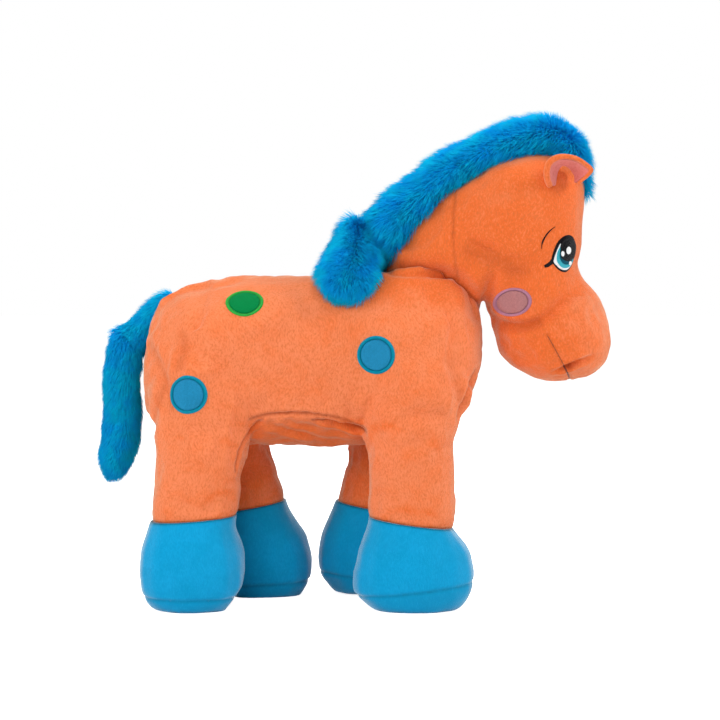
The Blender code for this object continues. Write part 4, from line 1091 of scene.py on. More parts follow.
def sculpt_head(form):
    """Seams, folds, the tucked corners of the mouth and uneven filling on the head and the neck, with shade
    painted along the mouth, in its corners, below the folds and along the head's seam.
    """
    mesh = form.data
    points = pushed(places(mesh), HEAD_PUSHES)
    at_fold = at_neck_fold(points, 8 * MM)
    at_fold *= np.clip((96 * MM - points[:, 0]) / (8 * MM), 0, 1)
    points[:, 1] *= 1 - 0.3 * at_fold
    set_places(mesh, points)
    tree = tree_of(form.name)
    points, out = places(mesh), directions(mesh)
    move = 0.9 * MM * lumps(points, 26 * MM, seed=11)
    move += 0.35 * MM * lumps(points, 11 * MM, seed=12)
    move += 0.16 * MM * lumps(points, 5 * MM, seed=13)
    for line, depth, width, lip in on_both_sides(tree, HEAD_CREASES):
        move += crease(points, line, depth * MM, width * MM, lip)
    mouth = mouth_line(tree)
    move += crease(points, mouth, 0.8 * MM, 1.1 * MM, 0.3)
    # Painted shade along the mouth's seam and in its tucked corners
    dark = 0.3 * beside(points, mouth, 0.9 * MM)
    for side in (RIGHT, LEFT):
        corner = line_on(tree, [(MOUTH_CORNER[0] * MM, MOUTH_CORNER[1] * MM)], side)[0]
        far = np.linalg.norm(points - corner, axis=1)
        move -= 3.2 * MM * falloff(far, 3.4 * MM)
        dark = np.maximum(dark, 0.75 * falloff(far, 2.2 * MM))
    for line, share, width in on_both_sides(tree, HEAD_SHADES):
        dark = np.maximum(dark, share * beside(points, line, width * MM))
    bow = HEAD_SEAM - 3 * MM + ((points[:, 2] - 260 * MM) / (30 * MM)) ** 2 * 3 * MM
    stitched = falloff(points[:, 0] - np.minimum(bow, HEAD_SEAM + 6 * MM), 1.0 * MM)
    move -= 0.45 * MM * stitched
    set_places(mesh, points + out * move[:, None])
    muzzle = np.clip((points[:, 0] - 128 * MM) / (25 * MM), 0, 1) * (points[:, 2] < 215 * MM)
    cheek = falloff(np.linalg.norm((points - (0.095, 0, 0.285)) * (1, 0, 1), axis=1), 24 * MM)
    patches = 0.25 * lumps(points, 32 * MM, seed=15) + 0.15 * lumps(points, 15 * MM, seed=16)
    paint(mesh, "nap_and_shade", 0.85 - 0.45 * muzzle - 0.4 * cheek + patches)
    # Painted shade along the seam between the head and the neck, with the rest of the painted shade
    paint(mesh, "seam", np.maximum(dark, 0.3 * stitched))


class HORSE_OT_head(bpy.types.Operator):
    """Sew the velour skin of the head and the neck"""

    bl_idname = "horse.head"
    bl_label = "Head and neck"

    def execute(self, context):
        form = head_form()
        sculpt_head(form)
        cloth = orange_velour()
        seam = Vector((HEAD_SEAM, 0, 0))
        head = keep_side(duplicate(form, "head_skin"), seam, AHEAD)
        neck = keep_side(duplicate(form, "neck_skin"), seam, -AHEAD)
        bpy.data.objects.remove(form, do_unlink=True)
        trunk = bpy.data.objects["trunk_skin"]
        # Painted shade in the fold where the neck meets the body, on each skin there
        for skin, other in ((neck, trunk), (head, trunk), (trunk, neck)):
            paint_neck_fold_shade(skin, other)
        nodes = ["head_cover", "head_stuffing"]
        finish_skin(head, cloth, "orange_velour", nodes, ["head"], HEAD_PADDING)
        nodes = ["neck_cover", "neck_stuffing"]
        finish_skin(neck, cloth, "orange_velour", nodes, NECK_TO_HEAD, SKIN_PADDING)
        return {"FINISHED"}


# Fur fabric
def ring(bm, sides, radius, place):
    """The edges of a new circle."""
    verts = set(bmesh.ops.create_circle(bm, segments=sides, radius=radius, matrix=place)["verts"])
    return [edge for edge in bm.edges if edge.verts[0] in verts and edge.verts[1] in verts]


def lofted(stations, sides=24):
    """A closed tube through rings given as (centre, half width direction, half height direction)."""
    bm = bmesh.new()
    rims = []
    for centre, right, up in stations:
        turn = Matrix((right, up, right.cross(up).normalized())).transposed().to_4x4()
        rims.append(ring(bm, sides, 1.0, Matrix.Translation(centre) @ turn))
    bridge(bm, rims)
    close_ends(bm)
    bmesh.ops.recalc_face_normals(bm, faces=bm.faces)
    return bm


def ways_along(line):
    """The direction of a line of places at each of them."""
    pairs = zip([line[0], *line], [*line[1:], line[-1]])
    return [(after - before).normalized() for before, after in pairs]


MANE_TIP_PUSHES = [
    ((-22, -40, 262), (17, 60, 20), (11, 0, -5)),
    ((0, -50, 208), (30, 40, 12), (0, 0, 2.5)),
]
MANE_TOP = [
    (2, 260), (14, 270.5), (26, 283), (43, 295), (61, 309), (82, 319), (102, 328.5), (130, 335.5),
    (144, 332), (155, 323.5), (161, 311), (162, 297), (163, 285),
]
MANE_FOOT = [
    (18, 232), (29, 242), (39, 255), (49, 267), (64, 284), (82, 294), (102, 303), (127, 309),
    (137, 309), (146, 307), (150, 301), (151, 293), (154, 284),
]


def mane_stations():
    """Rings along the mane, from the withers over the neck and the crown to the forelock."""
    tops, feet = (
        curve_through([(ahead * MM, 0, height * MM) for ahead, height in line], 3)
        for line in (MANE_TOP, MANE_FOOT)
    )
    stations = []
    for i, (top, foot) in enumerate(zip(tops, feet)):
        share = i / (len(tops) - 1)
        taper = min(1.0, 0.55 + share * 4) * min(1.0, 0.35 + (1 - share) * 2.6)
        half_width = (31 - 8 * share) * MM * taper
        stations.append(((top + foot) / 2, Vector((0, half_width, 0)), (top - foot) / 2))
    return stations


def unit(rows):
    return rows / np.maximum(np.linalg.norm(rows, axis=1, keepdims=True), 1e-9)


def scatter(mesh, count, seed):
    """Points spread evenly over a mesh, with the directions that it faces there."""
    mesh.calc_loop_triangles()
    corners = np.empty(len(mesh.loop_triangles) * 3, np.int32)
    mesh.loop_triangles.foreach_get("vertices", corners)
    corners = corners.reshape(-1, 3)
    points, out = places(mesh), directions(mesh)
    a, b, c = (points[corners[:, k]] for k in range(3))
    area = np.linalg.norm(np.cross(b - a, c - a), axis=1)
    rng = np.random.default_rng(seed)
    chosen = rng.choice(len(corners), count, p=area / area.sum())
    u, v = rng.random(count), rng.random(count)
    over = u + v > 1
    u[over], v[over] = 1 - u[over], 1 - v[over]
    w = 1 - u - v
    spread = a[chosen] * w[:, None] + b[chosen] * u[:, None] + c[chosen] * v[:, None]
    face = sum(out[corners[chosen, k]] * share[:, None] for k, share in enumerate((w, u, v)))
    return spread, unit(face), rng


LOCK_LEVELS = 2
LOCK_SWIRL = 0.42
LOCK_ROOT = 0.6 * MM


def lock_template():
    """One lock of pile: a slim three-sided cone standing on Z, a unit high and a unit wide."""
    bm = bmesh.new()
    bmesh.ops.create_cone(
        bm, cap_ends=False, segments=3, radius1=0.5, radius2=0.0, depth=1.0,
        matrix=Matrix.Translation((0, 0, 0.5)),
    )
    uprights = [edge for edge in bm.edges if abs(edge.verts[0].co.z - edge.verts[1].co.z) > 0.5]
    bmesh.ops.subdivide_edges(bm, edges=uprights, cuts=LOCK_LEVELS - 1)
    bmesh.ops.remove_doubles(bm, verts=bm.verts, dist=0.001)
    bmesh.ops.triangulate(bm, faces=bm.faces)
    mesh = bpy.data.meshes.new("lock")
    bm.to_mesh(mesh)
    bm.free()
    return mesh


def fur(name, core, count, comb, seed, length_share=1.0, lie=0.55):
    """Locks of pile all over a core, bending the way that comb gives at each place."""
    sizes = bpy.context.scene.horse_sizes
    roots, face, rng = scatter(core.data, count, seed)
    clump = lumps(roots, 7 * MM, seed=seed + 0.3)
    swirl = np.stack([lumps(roots, 9 * MM, seed=seed + k) for k in (1.1, 2.2, 3.3)], axis=1)
    lean = unit(comb(roots) + LOCK_SWIRL * swirl)
    lean = unit(lean - face * np.sum(lean * face, axis=1, keepdims=True))
    start = unit(face + lean * lie * 0.6 + rng.normal(0, 0.13, (count, 3)))
    length = sizes.pile_length * length_share * (0.84 + 0.22 * clump + rng.normal(0, 0.08, count))
    width = sizes.pile_width * (0.75 + 0.5 * rng.random(count))
    side = unit(np.cross(start, unit(rng.normal(0, 1, (count, 3)))))
    across = np.cross(start, side)
    template = lock_template()
    x, y, t = places(template).T
    faces = np.empty(len(template.polygons) * 3, np.int32)
    template.polygons.foreach_get("vertices", faces)
    bpy.data.meshes.remove(template)
    swell = 1 + 0.7 * t
    body = side[:, None, :] * (x * swell)[None, :, None] + across[:, None, :] * (y * swell)[None, :, None]
    body *= width[:, None, None]
    rise = start[:, None, :] * t[None, :, None] + lean[:, None, :] * (lie * t**2)[None, :, None]
    points = roots[:, None, :] - face[:, None, :] * LOCK_ROOT + body + rise * length[:, None, None]
    mesh = bpy.data.meshes.new(name)
    corners = (faces.reshape(1, -1, 3) + (np.arange(count) * len(t))[:, None, None]).reshape(-1, 3)
    mesh.from_pydata(points.reshape(-1, 3), [], corners)
    layer = mesh.uv_layers.new(name="locks")
    tone = np.repeat(rng.random(count), len(faces))
    way = np.tile(t[faces], count)
    layer.data.foreach_set("uv", np.stack([tone, way], axis=1).astype(np.float32).ravel())
    mesh.shade_smooth()
    return in_scene(name, mesh)


def furry(core, carried, share, comb, seed, **options):
    """Finishes a core and its pile, and sets both on the bodies that carry them."""
    cloth, sizes = bpy.context.scene.horse_cloth, bpy.context.scene.horse_sizes
    name = core.name.removesuffix("_core")
    locks = fur(name + "_pile", core, int(sizes.pile_count * share), comb, seed, **options)
    nodes = [name] if name in frame["nodes"] else []
    backing = fur_backing("blue fur backing", cloth.fur_blue)
    finish_skin(core, backing, "blue_fur_fabric", nodes, carried, FUR_PADDING)
    locks.data.materials.append(fur_material("blue pile", cloth.fur_blue, cloth.fur_tip_highlight))
    carry(locks, *carried)


def backwards(points):
    """Pile that lies back along the neck and down its sides."""
    return np.sign(points[:, 1:2]) * (0, 0.5, 0) + (-0.7, 0, -0.75)


def downwards(points):
    """Pile that hangs down, and a little back."""
    return np.zeros_like(points) + (-0.25, 0, -1.0)


def soft_core(name, bm, grid, inset, steps=6, pushes=()):
    """The uneven form under the pile."""
    core = relax(remesh(to_object(name, bm), grid), steps)
    mesh = core.data
    points, out = places(mesh), directions(mesh)
    move = 1.3 * MM * lumps(points, 15 * MM, seed=21) - inset
    set_places(mesh, points + out * move[:, None])
    set_places(mesh, pushed(places(mesh), pushes))
    return core


class HORSE_OT_mane(bpy.types.Operator):
    """Sew the fur mane over the neck, the crown and the right shoulder"""

    bl_idname = "horse.mane"
    bl_label = "Mane"

    def execute(self, context):
        whole = soft_core("mane_form", lofted(mane_stations()), 2.2 * MM, 0.0, 4)
        seam, nape = Vector((HEAD_SEAM, 0, 0)), Vector((NECK_BEND_START, 0, 0))
        crown = keep_side(duplicate(whole, "mane_crown_core"), seam, AHEAD)
        crest = keep_side(duplicate(whole, "mane_crest_core"), seam, -AHEAD)
        withers = keep_side(duplicate(crest, "mane_withers_core"), nape, -AHEAD)
        keep_side(crest, nape, AHEAD)
        bpy.data.objects.remove(whole, do_unlink=True)
        furry(crown, ["head"], 1, backwards, 31)
        furry(crest, NECK_TO_HEAD, 0.7, backwards, 32)
        furry(withers, TRUNK_TO_NECK, 0.45, backwards, 36)
        loose = node_copy("mane_tip")
        tip = soft_core("mane_tip_core", loose, 2 * MM, 3.5 * MM, pushes=MANE_TIP_PUSHES)
        furry(tip, ["mane_tip"], 0.7, downwards, 33)
        return {"FINISHED"}


TAIL_GRID = 1.8 * MM
TAIL_PILE = {"length_share": 0.65, "lie": 0.9}
DOCK_PUSHES = [((-131, 0, 218), (14, 40, 14), (5, 0, 3))]
SWITCH_PUSHES = [
    ((-166, 0, 190), (13, 60, 13), (0.8, 0, 5)),
    ((-165, 0, 120), (40, 60, 55), (2, 0, 0)),
    ((-168, 0, 88), (30, 60, 18), (0, 0, 3)),
    ((-152, 0, 92), (12, 60, 18), (-5, 0, 0)),
]


class HORSE_OT_tail(bpy.types.Operator):
    """Sew the fur tail"""

    bl_idname = "horse.tail"
    bl_label = "Tail"

    def execute(self, context):
        upper, lower = node_copy("tail_dock"), node_copy("tail_switch")
        dock = soft_core("tail_dock_core", upper, TAIL_GRID, 2.5 * MM, pushes=DOCK_PUSHES)
        switch = soft_core("tail_switch_core", lower, TAIL_GRID, 3 * MM, pushes=SWITCH_PUSHES)
        furry(dock, ["tail_dock"], 0.4, downwards, 34, **TAIL_PILE)
        furry(switch, ["tail_switch"], 0.9, downwards, 35, **TAIL_PILE)
        return {"FINISHED"}


# Ears
EAR_RIM = [
    (134.0, 290.0, 41.5), (131.8, 294.5, 46.0), (131.2, 300.0, 49.0), (132.6, 305.0, 50.0),
    (136.8, 308.4, 50.5), (143.0, 309.6, 50.5), (151.0, 308.4, 50.0), (157.6, 304.8, 49.0),
    (162.2, 300.8, 47.5), (159.6, 296.8, 45.5), (155.6, 293.4, 43.0), (153.0, 291.4, 40.5),
]
EAR_ROOT = [
    (137.0, 290.8, 36.5), (137.4, 294.5, 36.5), (138.0, 298.5, 36.0), (139.4, 302.0, 35.5),
    (141.6, 304.6, 35.0), (144.4, 305.4, 34.0), (148.0, 303.8, 32.0), (150.6, 301.0, 31.0),
    (152.0, 298.4, 31.0), (152.6, 296.0, 32.0), (152.8, 293.8, 33.0), (152.6, 292.0, 34.0),
]
EAR_WALL = 1.5 * MM
EAR_GRID = 0.65 * MM
EAR_PLACE = (0.145, 0.3)
EAR_BEND = (37 * MM, 47 * MM)
PINK, PALE_PINK, DEEP_PINK = (0.76, 0.25, 0.22), (0.82, 0.33, 0.3), (0.62, 0.17, 0.14)


def ear_lines(side):
    """The ear's rim and its root on the head, from places in millimetres as (ahead, height, aside)."""
    return [
        curve_through([(x * MM, side * y * MM, z * MM) for x, z, y in spots], 3)
        for spots in (EAR_RIM, EAR_ROOT)
    ]


def ear_shell(side, reach, inset, wall):
    """An open cup of cloth, from the ear's root on the head out towards its rim."""
    rim, root = ear_lines(side)
    bm = bmesh.new()
    middle = sum(rim, Vector()) / len(rim)
    rows = []
    for share in np.linspace(0.0, reach, 6):
        row = []
        for low, high in zip(root, rim):
            place = low.lerp(high, share)
            away = (place - middle).normalized()
            row.append(bm.verts.new(place + away * math.sin(share * math.pi) * 0.8 * MM))
        rows.append([bm.edges.new(pair) for pair in zip(row, row[1:])])
    bridge(bm, rows)
    bmesh.ops.recalc_face_normals(bm, faces=bm.faces)
    facing = sum(((face.calc_center_median() - middle).dot(face.normal) for face in bm.faces), 0.0)
    if facing < 0:
        bmesh.ops.reverse_faces(bm, faces=bm.faces)
    bm.normal_update()
    moves = [(vert, vert.normal * -inset) for vert in bm.verts]
    for vert, move in moves:
        vert.co += move
    bmesh.ops.solidify(bm, geom=bm.faces, thickness=wall)
    bmesh.ops.recalc_face_normals(bm, faces=bm.faces)
    return bm


def ear_roll(side):
    """The roll of velour along the ear's rim, thin where the ear is open."""
    rim = ear_lines(side)[0]
    stations = []
    for i, (point, ahead) in enumerate(zip(rim, ways_along(rim))):
        right = ahead.cross(Vector((0, 1, 0))).normalized()
        share = i / (len(rim) - 1)
        radius = (2.3 - 1.3 * min(1, max(0, (share - 0.35) / 0.35))) * MM
        stations.append((point, right * radius, ahead.cross(right).normalized() * radius))
    return lofted(stations, 12)


class HORSE_OT_ears(bpy.types.Operator):
    """Sew the open ears and their pink lining"""

    bl_idname = "horse.ears"
    bl_label = "Ears"

    def execute(self, context):
        lining = velour("pink lining", PINK, PALE_PINK, DEEP_PINK, PINK, 0.15, 0.2, (1.0, 0.8, 0.7))
        for side, word in SIDE_WORDS.items():
            outer = to_object("ear_velour_" + word, ear_shell(side, 1.0, 0.0, EAR_WALL), ear_roll(side))
            relax(remesh(outer, EAR_GRID), 3)
            paint(outer.data, "nap_and_shade", np.full(len(outer.data.vertices), 0.5))
            inner = to_object("ear_pink_" + word, ear_shell(side, 0.9, EAR_WALL, 0.6 * MM))
            smoothed(inner, 2)
            ahead, height = EAR_PLACE
            start, end = ((ahead, side * aside, height) for aside in EAR_BEND)
            bend = ("head", "ear_" + word, start, end)
            finish_skin(outer, orange_velour(), "orange_velour", ["ear_outer_" + word], bend)
            finish_skin(inner, lining, "pink_lining", ["ear_lining_" + word], bend)
        return {"FINISHED"}


# Spots and the sewn face
LAY_REACH = 40 * MM
FACE_SIDE = 35 * MM
PLATE_SIDES = 72


def turned(bm, rows, sides):
    """Rings of edges round Z for rows given as (radius, height)."""
    return [ring(bm, sides, radius, Matrix.Translation((0, 0, height))) for radius, height in rows]


def disc(rows, sides=64):
    """A low closed dome; the first row lies underneath."""
    bm = bmesh.new()
    bridge(bm, turned(bm, rows, sides))
    close_ends(bm)
    return bm


def band(rows, sides=96):
    """A closed ring; its last row meets its first."""
    bm = bmesh.new()
    rims = turned(bm, rows, sides)
    bridge(bm, [*rims, rims[0]])
    return bm


def plate(lift, sides):
    """A thin round plate a unit wide, thickest inside its rim."""
    rows = [(1.0, -0.2 * MM), (1.0, lift * 0.55), (0.955, lift)]
    return disc(rows + [(share, lift) for share in (0.82, 0.6, 0.38, 0.16)], sides)


def outline_of(spots, count):
    """Evenly spaced places round a closed smooth line through a few."""
    points = [Vector((*spot, 0)) for spot in spots]
    line = curve_through([points[-1], *points, points[0], points[1]], 8)[8:-8]
    lengths = np.cumsum([0] + [(b - a).length for a, b in zip(line, line[1:])])
    want = np.linspace(0, lengths[-1], count, endpoint=False)
    rows = np.array([tuple(point) for point in line])
    return np.stack([np.interp(want, lengths, rows[:, axis]) for axis in (0, 1)], axis=1)


def shaped_plate(spots, lift):
    """A thin plate with a given outline in millimetres."""
    outline = outline_of(spots, PLATE_SIDES) * MM
    middle = outline.mean(axis=0)
    bm = plate(lift, PLATE_SIDES)
    for vert in bm.verts:
        share = math.hypot(vert.co.x, vert.co.y)
        turn = math.atan2(vert.co.y, vert.co.x) / math.tau * PLATE_SIDES
        place = outline[round(turn) % PLATE_SIDES]
        vert.co.x, vert.co.y = middle + (place - middle) * share
    return bm


def ellipse(centre, radii, lift):
    """A thin plate with a centre and two radii in millimetres."""
    bm = plate(lift, 40)
    scale = Matrix.Diagonal((radii[0] * MM, radii[1] * MM, 1, 1))
    place = Matrix.Translation((centre[0] * MM, centre[1] * MM, 0)) @ scale
    bmesh.ops.transform(bm, matrix=place, verts=bm.verts)
    return bm


def thread(points, widths, height):
    """A thread laid flat: a tube with its own half width at each place."""
    stations = []
    for point, ahead, width in zip(points, ways_along(points), widths):
        stations.append((point, UP.cross(ahead) * width, UP * height))
    return lofted(stations, 8)


def mark_stitches(bm, scale):
    """Gives a flat form the map that its threads and loops follow."""
    stitches = bm.loops.layers.uv.new("stitch")
    for face in bm.faces:
        for loop in face.loops:
            loop[stitches].uv = (loop.vert.co.x * scale, loop.vert.co.y * scale)


def lay(bm, tree, centre, toward, right, up):
    """Lays a flat form on a skin, along a direction; its height becomes its height off the skin."""
    for vert in bm.verts:
        start = centre + right * vert.co.x + up * vert.co.y
        hit, normal = tree.ray_cast(start + toward * LAY_REACH, -toward)[:2]
        if hit is None:
            hit, normal = tree.find_nearest(start)[:2]
        vert.co = hit + normal * vert.co.z
    bmesh.ops.recalc_face_normals(bm, faces=bm.faces)


def outward_at(tree, place, reach):
    """The middle direction of the skin round a place."""
    found = tree.find_nearest_range(place, reach)
    return sum((normal for _, normal, _, _ in found), Vector()).normalized()


@once
def knit_group(name):
    """Fine knitted cloth: rows of small loops, as a height and as a mask of painted shade between the
    loops, uneven in tone.
    """
    group, _, out = new_group(name, {}, {"Loops": "Float", "Normal": "Vector"})
    uv = add_node(group, "UVMap", uv_map="stitch").outputs[0]
    wales, courses = stripes(group, uv, 0.42, 0.8, "X"), stripes(group, uv, 0.5, 0.8, "Y")
    loops = maths(group, "MULTIPLY", wales, courses)
    total = maths(group, "ADD", loops, clouds(group, uv, 0.6, 5.0, 0.7))
    normal = bumps(group, total, 0.0003, 0.5)
    feed(group, out, {"Loops": ramp(group, total, (0.5, 1.0, 0.0, 1.0)), "Normal": normal})
    return group


@once
def satin_group(name):
    """Satin stitch: threads side by side across a strip or, with Round at 1, across a ring, as a height and
    as a mask of painted shade between the threads and, on a ring, along its inner edge.
    """
    inputs = {"Round": "Float", "Turn": "Float"}
    group, given, out = new_group(name, inputs, {"Threads": "Float", "Normal": "Vector"})
    uv = add_node(group, "UVMap", uv_map="stitch").outputs[0]
    values = {"Vector": uv, "Angle": given.outputs["Turn"]}
    straight = add_node(group, "VectorRotate", values, rotation_type="Z_AXIS").outputs[0]
    flat = stripes(group, straight, 0.62, 0.6, "X")
    split = add_node(group, "SeparateXYZ", {0: uv})
    angle = maths(group, "ARCTAN2", split.outputs["Y"], split.outputs["X"])
    radial = maths(group, "SINE", maths(group, "MULTIPLY", angle, 150.0))
    rays = maths(group, "MULTIPLY_ADD", radial, 0.5, 0.5)
    threads = mix_value(group, given.outputs["Round"], flat, rays)
    far = add_node(group, "VectorMath", {0: uv}, operation="LENGTH").outputs["Value"]
    # Painted shade along the inner edge of a ring, where the border meets the cloth it frames
    outside = ramp(group, far, (10.6, 11.7, 0.25, 1.0))
    edge = mix_value(group, given.outputs["Round"], 1.0, outside)
    shade = maths(group, "MULTIPLY", threads, edge)
    feed(group, out, {"Threads": shade, "Normal": bumps(group, threads, 0.0003, 0.7)})
    return group


@once
def sewn_material(name, colour, low, group, roughness, **values):
    """Cloth or thread with shade painted between its loops or stitches, where its colour darkens."""
    made, tree, shader = new_material(name)
    effect = add_node(tree, "Group", node_tree=group)
    feed(tree, effect, values)
    feed(tree, shader, {
        "Base Color": mix_colour(tree, effect.outputs[0], solid(colour, low), solid(colour)),
        "Normal": effect.outputs["Normal"],
        "Roughness": roughness,
        "Specular IOR Level": 0.06,
        "Sheen Weight": 0.02,
    })
    return made


def satin(name, colour, low, roughness, **values):
    return sewn_material(name, colour, low, satin_group("satin stitch"), roughness, **values)


SPOT_LOOKS = {
    "blue": ("blue_spot_cloth", (0.02, 0.3, 0.56), "blue_satin_stitch", (0.0, 0.36, 0.55)),
    "green": ("green_spot_cloth", (0.0, 0.28, 0.07), "green_satin_stitch", (0.04, 0.55, 0.08)),
    "mauve": ("mauve_spot_cloth", (0.57, 0.25, 0.25), "lilac_satin_stitch", (0.7, 0.32, 0.46)),
}
SPOT_RADIUS = 13 * MM
BORDER_WIDTH = 2.6 * MM
RUMP_RADIUS = 9 * MM
BACK_FLAT = 0.84
CHEEK_PLACE = (109.5, 210.8)
CHEEK_RADII = (12.8 * MM, 9.75 * MM)
CHEEK_TILT = math.radians(10)


def spot(name, look, tree, directions_on, radii, carried):
    """A cloth spot and its satin-stitched border, laid on the velour."""
    cloth_slot, cloth_colour, stitch_slot, stitch_colour = SPOT_LOOKS[look]
    outer, width = radii[0], BORDER_WIDTH
    inner = outer - width
    rows = [(inner, -0.3 * MM), (inner, 0.2 * MM), (inner * 0.97, 0.5 * MM)]
    rows += [(inner * share, 0.7 * MM + 0.25 * MM * (1 - share)) for share in (0.92, 0.7, 0.5, 0.3, 0.1)]
    swell = [(outer, -0.3 * MM), (outer, 0.2 * MM), (outer - 0.25 * width, 0.85 * MM)]
    swell += [(outer - 0.5 * width, 0.95 * MM), (inner + 0.25 * width, 0.5 * MM)]
    swell += [(inner, 0.05 * MM), (inner, -0.3 * MM)]
    cloth = sewn_material(look + " knit", cloth_colour, 0.6, knit_group("knit"), 0.85)
    stitch = satin(look + " satin", stitch_colour, 0.5, 0.42, Round=1.0)
    node = name.replace("cheek_", "cheek_patch_")
    for form, label, surface, slot, ending in (
        (disc(rows), "spot_cloth_", cloth, cloth_slot, ""),
        (band(swell), "spot_stitch_", stitch, stitch_slot, "_border"),
    ):
        mark_stitches(form, SPOT_RADIUS / MM / outer)
        stretch = Matrix.Diagonal((1, radii[1] / radii[0], 1, 1))
        bmesh.ops.transform(form, matrix=stretch, verts=form.verts)
        lay(form, tree, *directions_on)
        finish_skin(to_object(label + name, form), surface, slot, [node + ending], carried)


def middle_of(node):
    low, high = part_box(node)
    return (Vector(low) + Vector(high)) / 2


class HORSE_OT_spots(bpy.types.Operator):
    """Sew on the cloth spots and the cheek patches with their stitched borders"""

    bl_idname = "horse.spots"
    bl_label = "Spots"

    def execute(self, context):
        trunk, head = tree_of("trunk_skin"), tree_of("head_skin")
        sites = [("rump_spot", "mauve", RUMP_RADIUS, 1.0, ["trunk"])]
        for word in SIDE_WORDS.values():
            sites.append(("shoulder_spot_" + word, "blue", SPOT_RADIUS, 1.0, ["trunk"]))
            sites.append(("back_spot_" + word, "green", SPOT_RADIUS, BACK_FLAT, ["trunk"]))
            sites.append(("thigh_spot_" + word, "blue", SPOT_RADIUS, 1.0, leg_bend("hind_" + word)))
        for name, look, radius, flat, carried in sites:
            centre = middle_of(name)
            toward = outward_at(trunk, centre, 0.7 * radius)
            right = toward.cross(UP).normalized()
            across = (centre, toward, right, right.cross(toward))
            spot(name, look, trunk, across, (radius, radius * flat), carried)
        right = Vector((math.cos(CHEEK_TILT), 0, math.sin(CHEEK_TILT)))
        up = Vector((-math.sin(CHEEK_TILT), 0, math.cos(CHEEK_TILT)))
        for side, word in SIDE_WORDS.items():
            centre = Vector((CHEEK_PLACE[0] * MM, side * FACE_SIDE, CHEEK_PLACE[1] * MM))
            across = (centre, Vector((0, side, 0)), right, up)
            spot("cheek_" + word, "mauve", head, across, CHEEK_RADII, ["head"])
        return {"FINISHED"}


EYE_PLACE = (144.4, 244.0)
EYE_OUTLINE = [
    (3, 12.75), (6.4, 11.1), (8.4, 7.1), (8.9, 3), (8.4, -0.35), (6, -7.8), (3.7, -11.2), (1, -12.8),
    (-3, -11.6), (-6.4, -8.5), (-8.85, -4.7), (-7.8, 1), (-5.3, 7.1), (-1.7, 11.1),
]
EYE_LASH = [(-7.9, -4.6), (-9.6, -6.6), (-11.6, -8.0), (-13.8, -8.7)]
LASH_WIDTHS = [1.5 * MM, 1.4 * MM, 1.3 * MM, 1.0 * MM]
EYE_WHITE = [
    (-7.6, -5.4), (-6.5, -0.5), (-4.6, 4.2), (-2.5, 7), (3, 4), (6.5, -1.5), (6.9, -4), (5.2, -8.1),
    (3, -10.6), (0.8, -11.5), (-2.6, -10.6), (-5.6, -8),
]
PUPIL = [
    (-3, 6.2), (-3.3, 0), (-2.2, -3.3), (1.7, -5.3), (5, -4.3), (7, -2), (7.9, 3), (7.2, 8),
    (3, 11.5), (-1.2, 9.8),
]
BROW = [(-16.1, 3.3), (-15.6, 7.1), (-13.8, 11.1), (-10.7, 15.2), (-6.7, 18.3)]
BLACK, WHITE = (0.006, 0.006, 0.009), (0.95, 0.97, 0.98)
AQUA, TEAL = (0.06, 0.55, 0.68), (0.0, 0.12, 0.19)


def brow_widths(count):
    """Half widths of the brow's thread, thin at both ends."""
    ends = [min(i, count - 1 - i) / count for i in range(count)]
    return [0.55 * MM * min(1.0, 0.25 + 2.2 * share) for share in ends]


def mouth_thread(tree):
    """One thread round the underside of the muzzle, thicker where the corners tuck in."""
    path = [Vector(place) for place in mouth_line(tree, 90, 81)]
    stations = []
    for i, (point, ahead) in enumerate(zip(path, ways_along(path))):
        away = (point - MOUTH_HEART).normalized()
        tucked = min(1, max(0, (point.z / MM - 158) / 2)) * min(1, max(0, (169 - point.z / MM) / 2))
        width = (0.14 + 0.07 * math.sin(i * 2.1) ** 2 + 0.35 * tucked) * MM
        stations.append((point + away * 0.1 * MM, ahead.cross(away).normalized() * width, away * width))
    return to_object("mouth_thread", lofted(stations, 6))


def brown_thread():
    """The dull thread of the mouth."""
    made, tree, shader = new_material("brown thread")
    twist = ramp(tree, clouds(tree, object_place(tree), 900.0), (0.35, 0.65, 0.0, 1.0))
    tone = mix_colour(tree, twist, (0.05, 0.012, 0.006, 1), (0.2, 0.045, 0.02, 1))
    feed(tree, shader, {"Base Color": tone, "Roughness": 0.7})
    return made


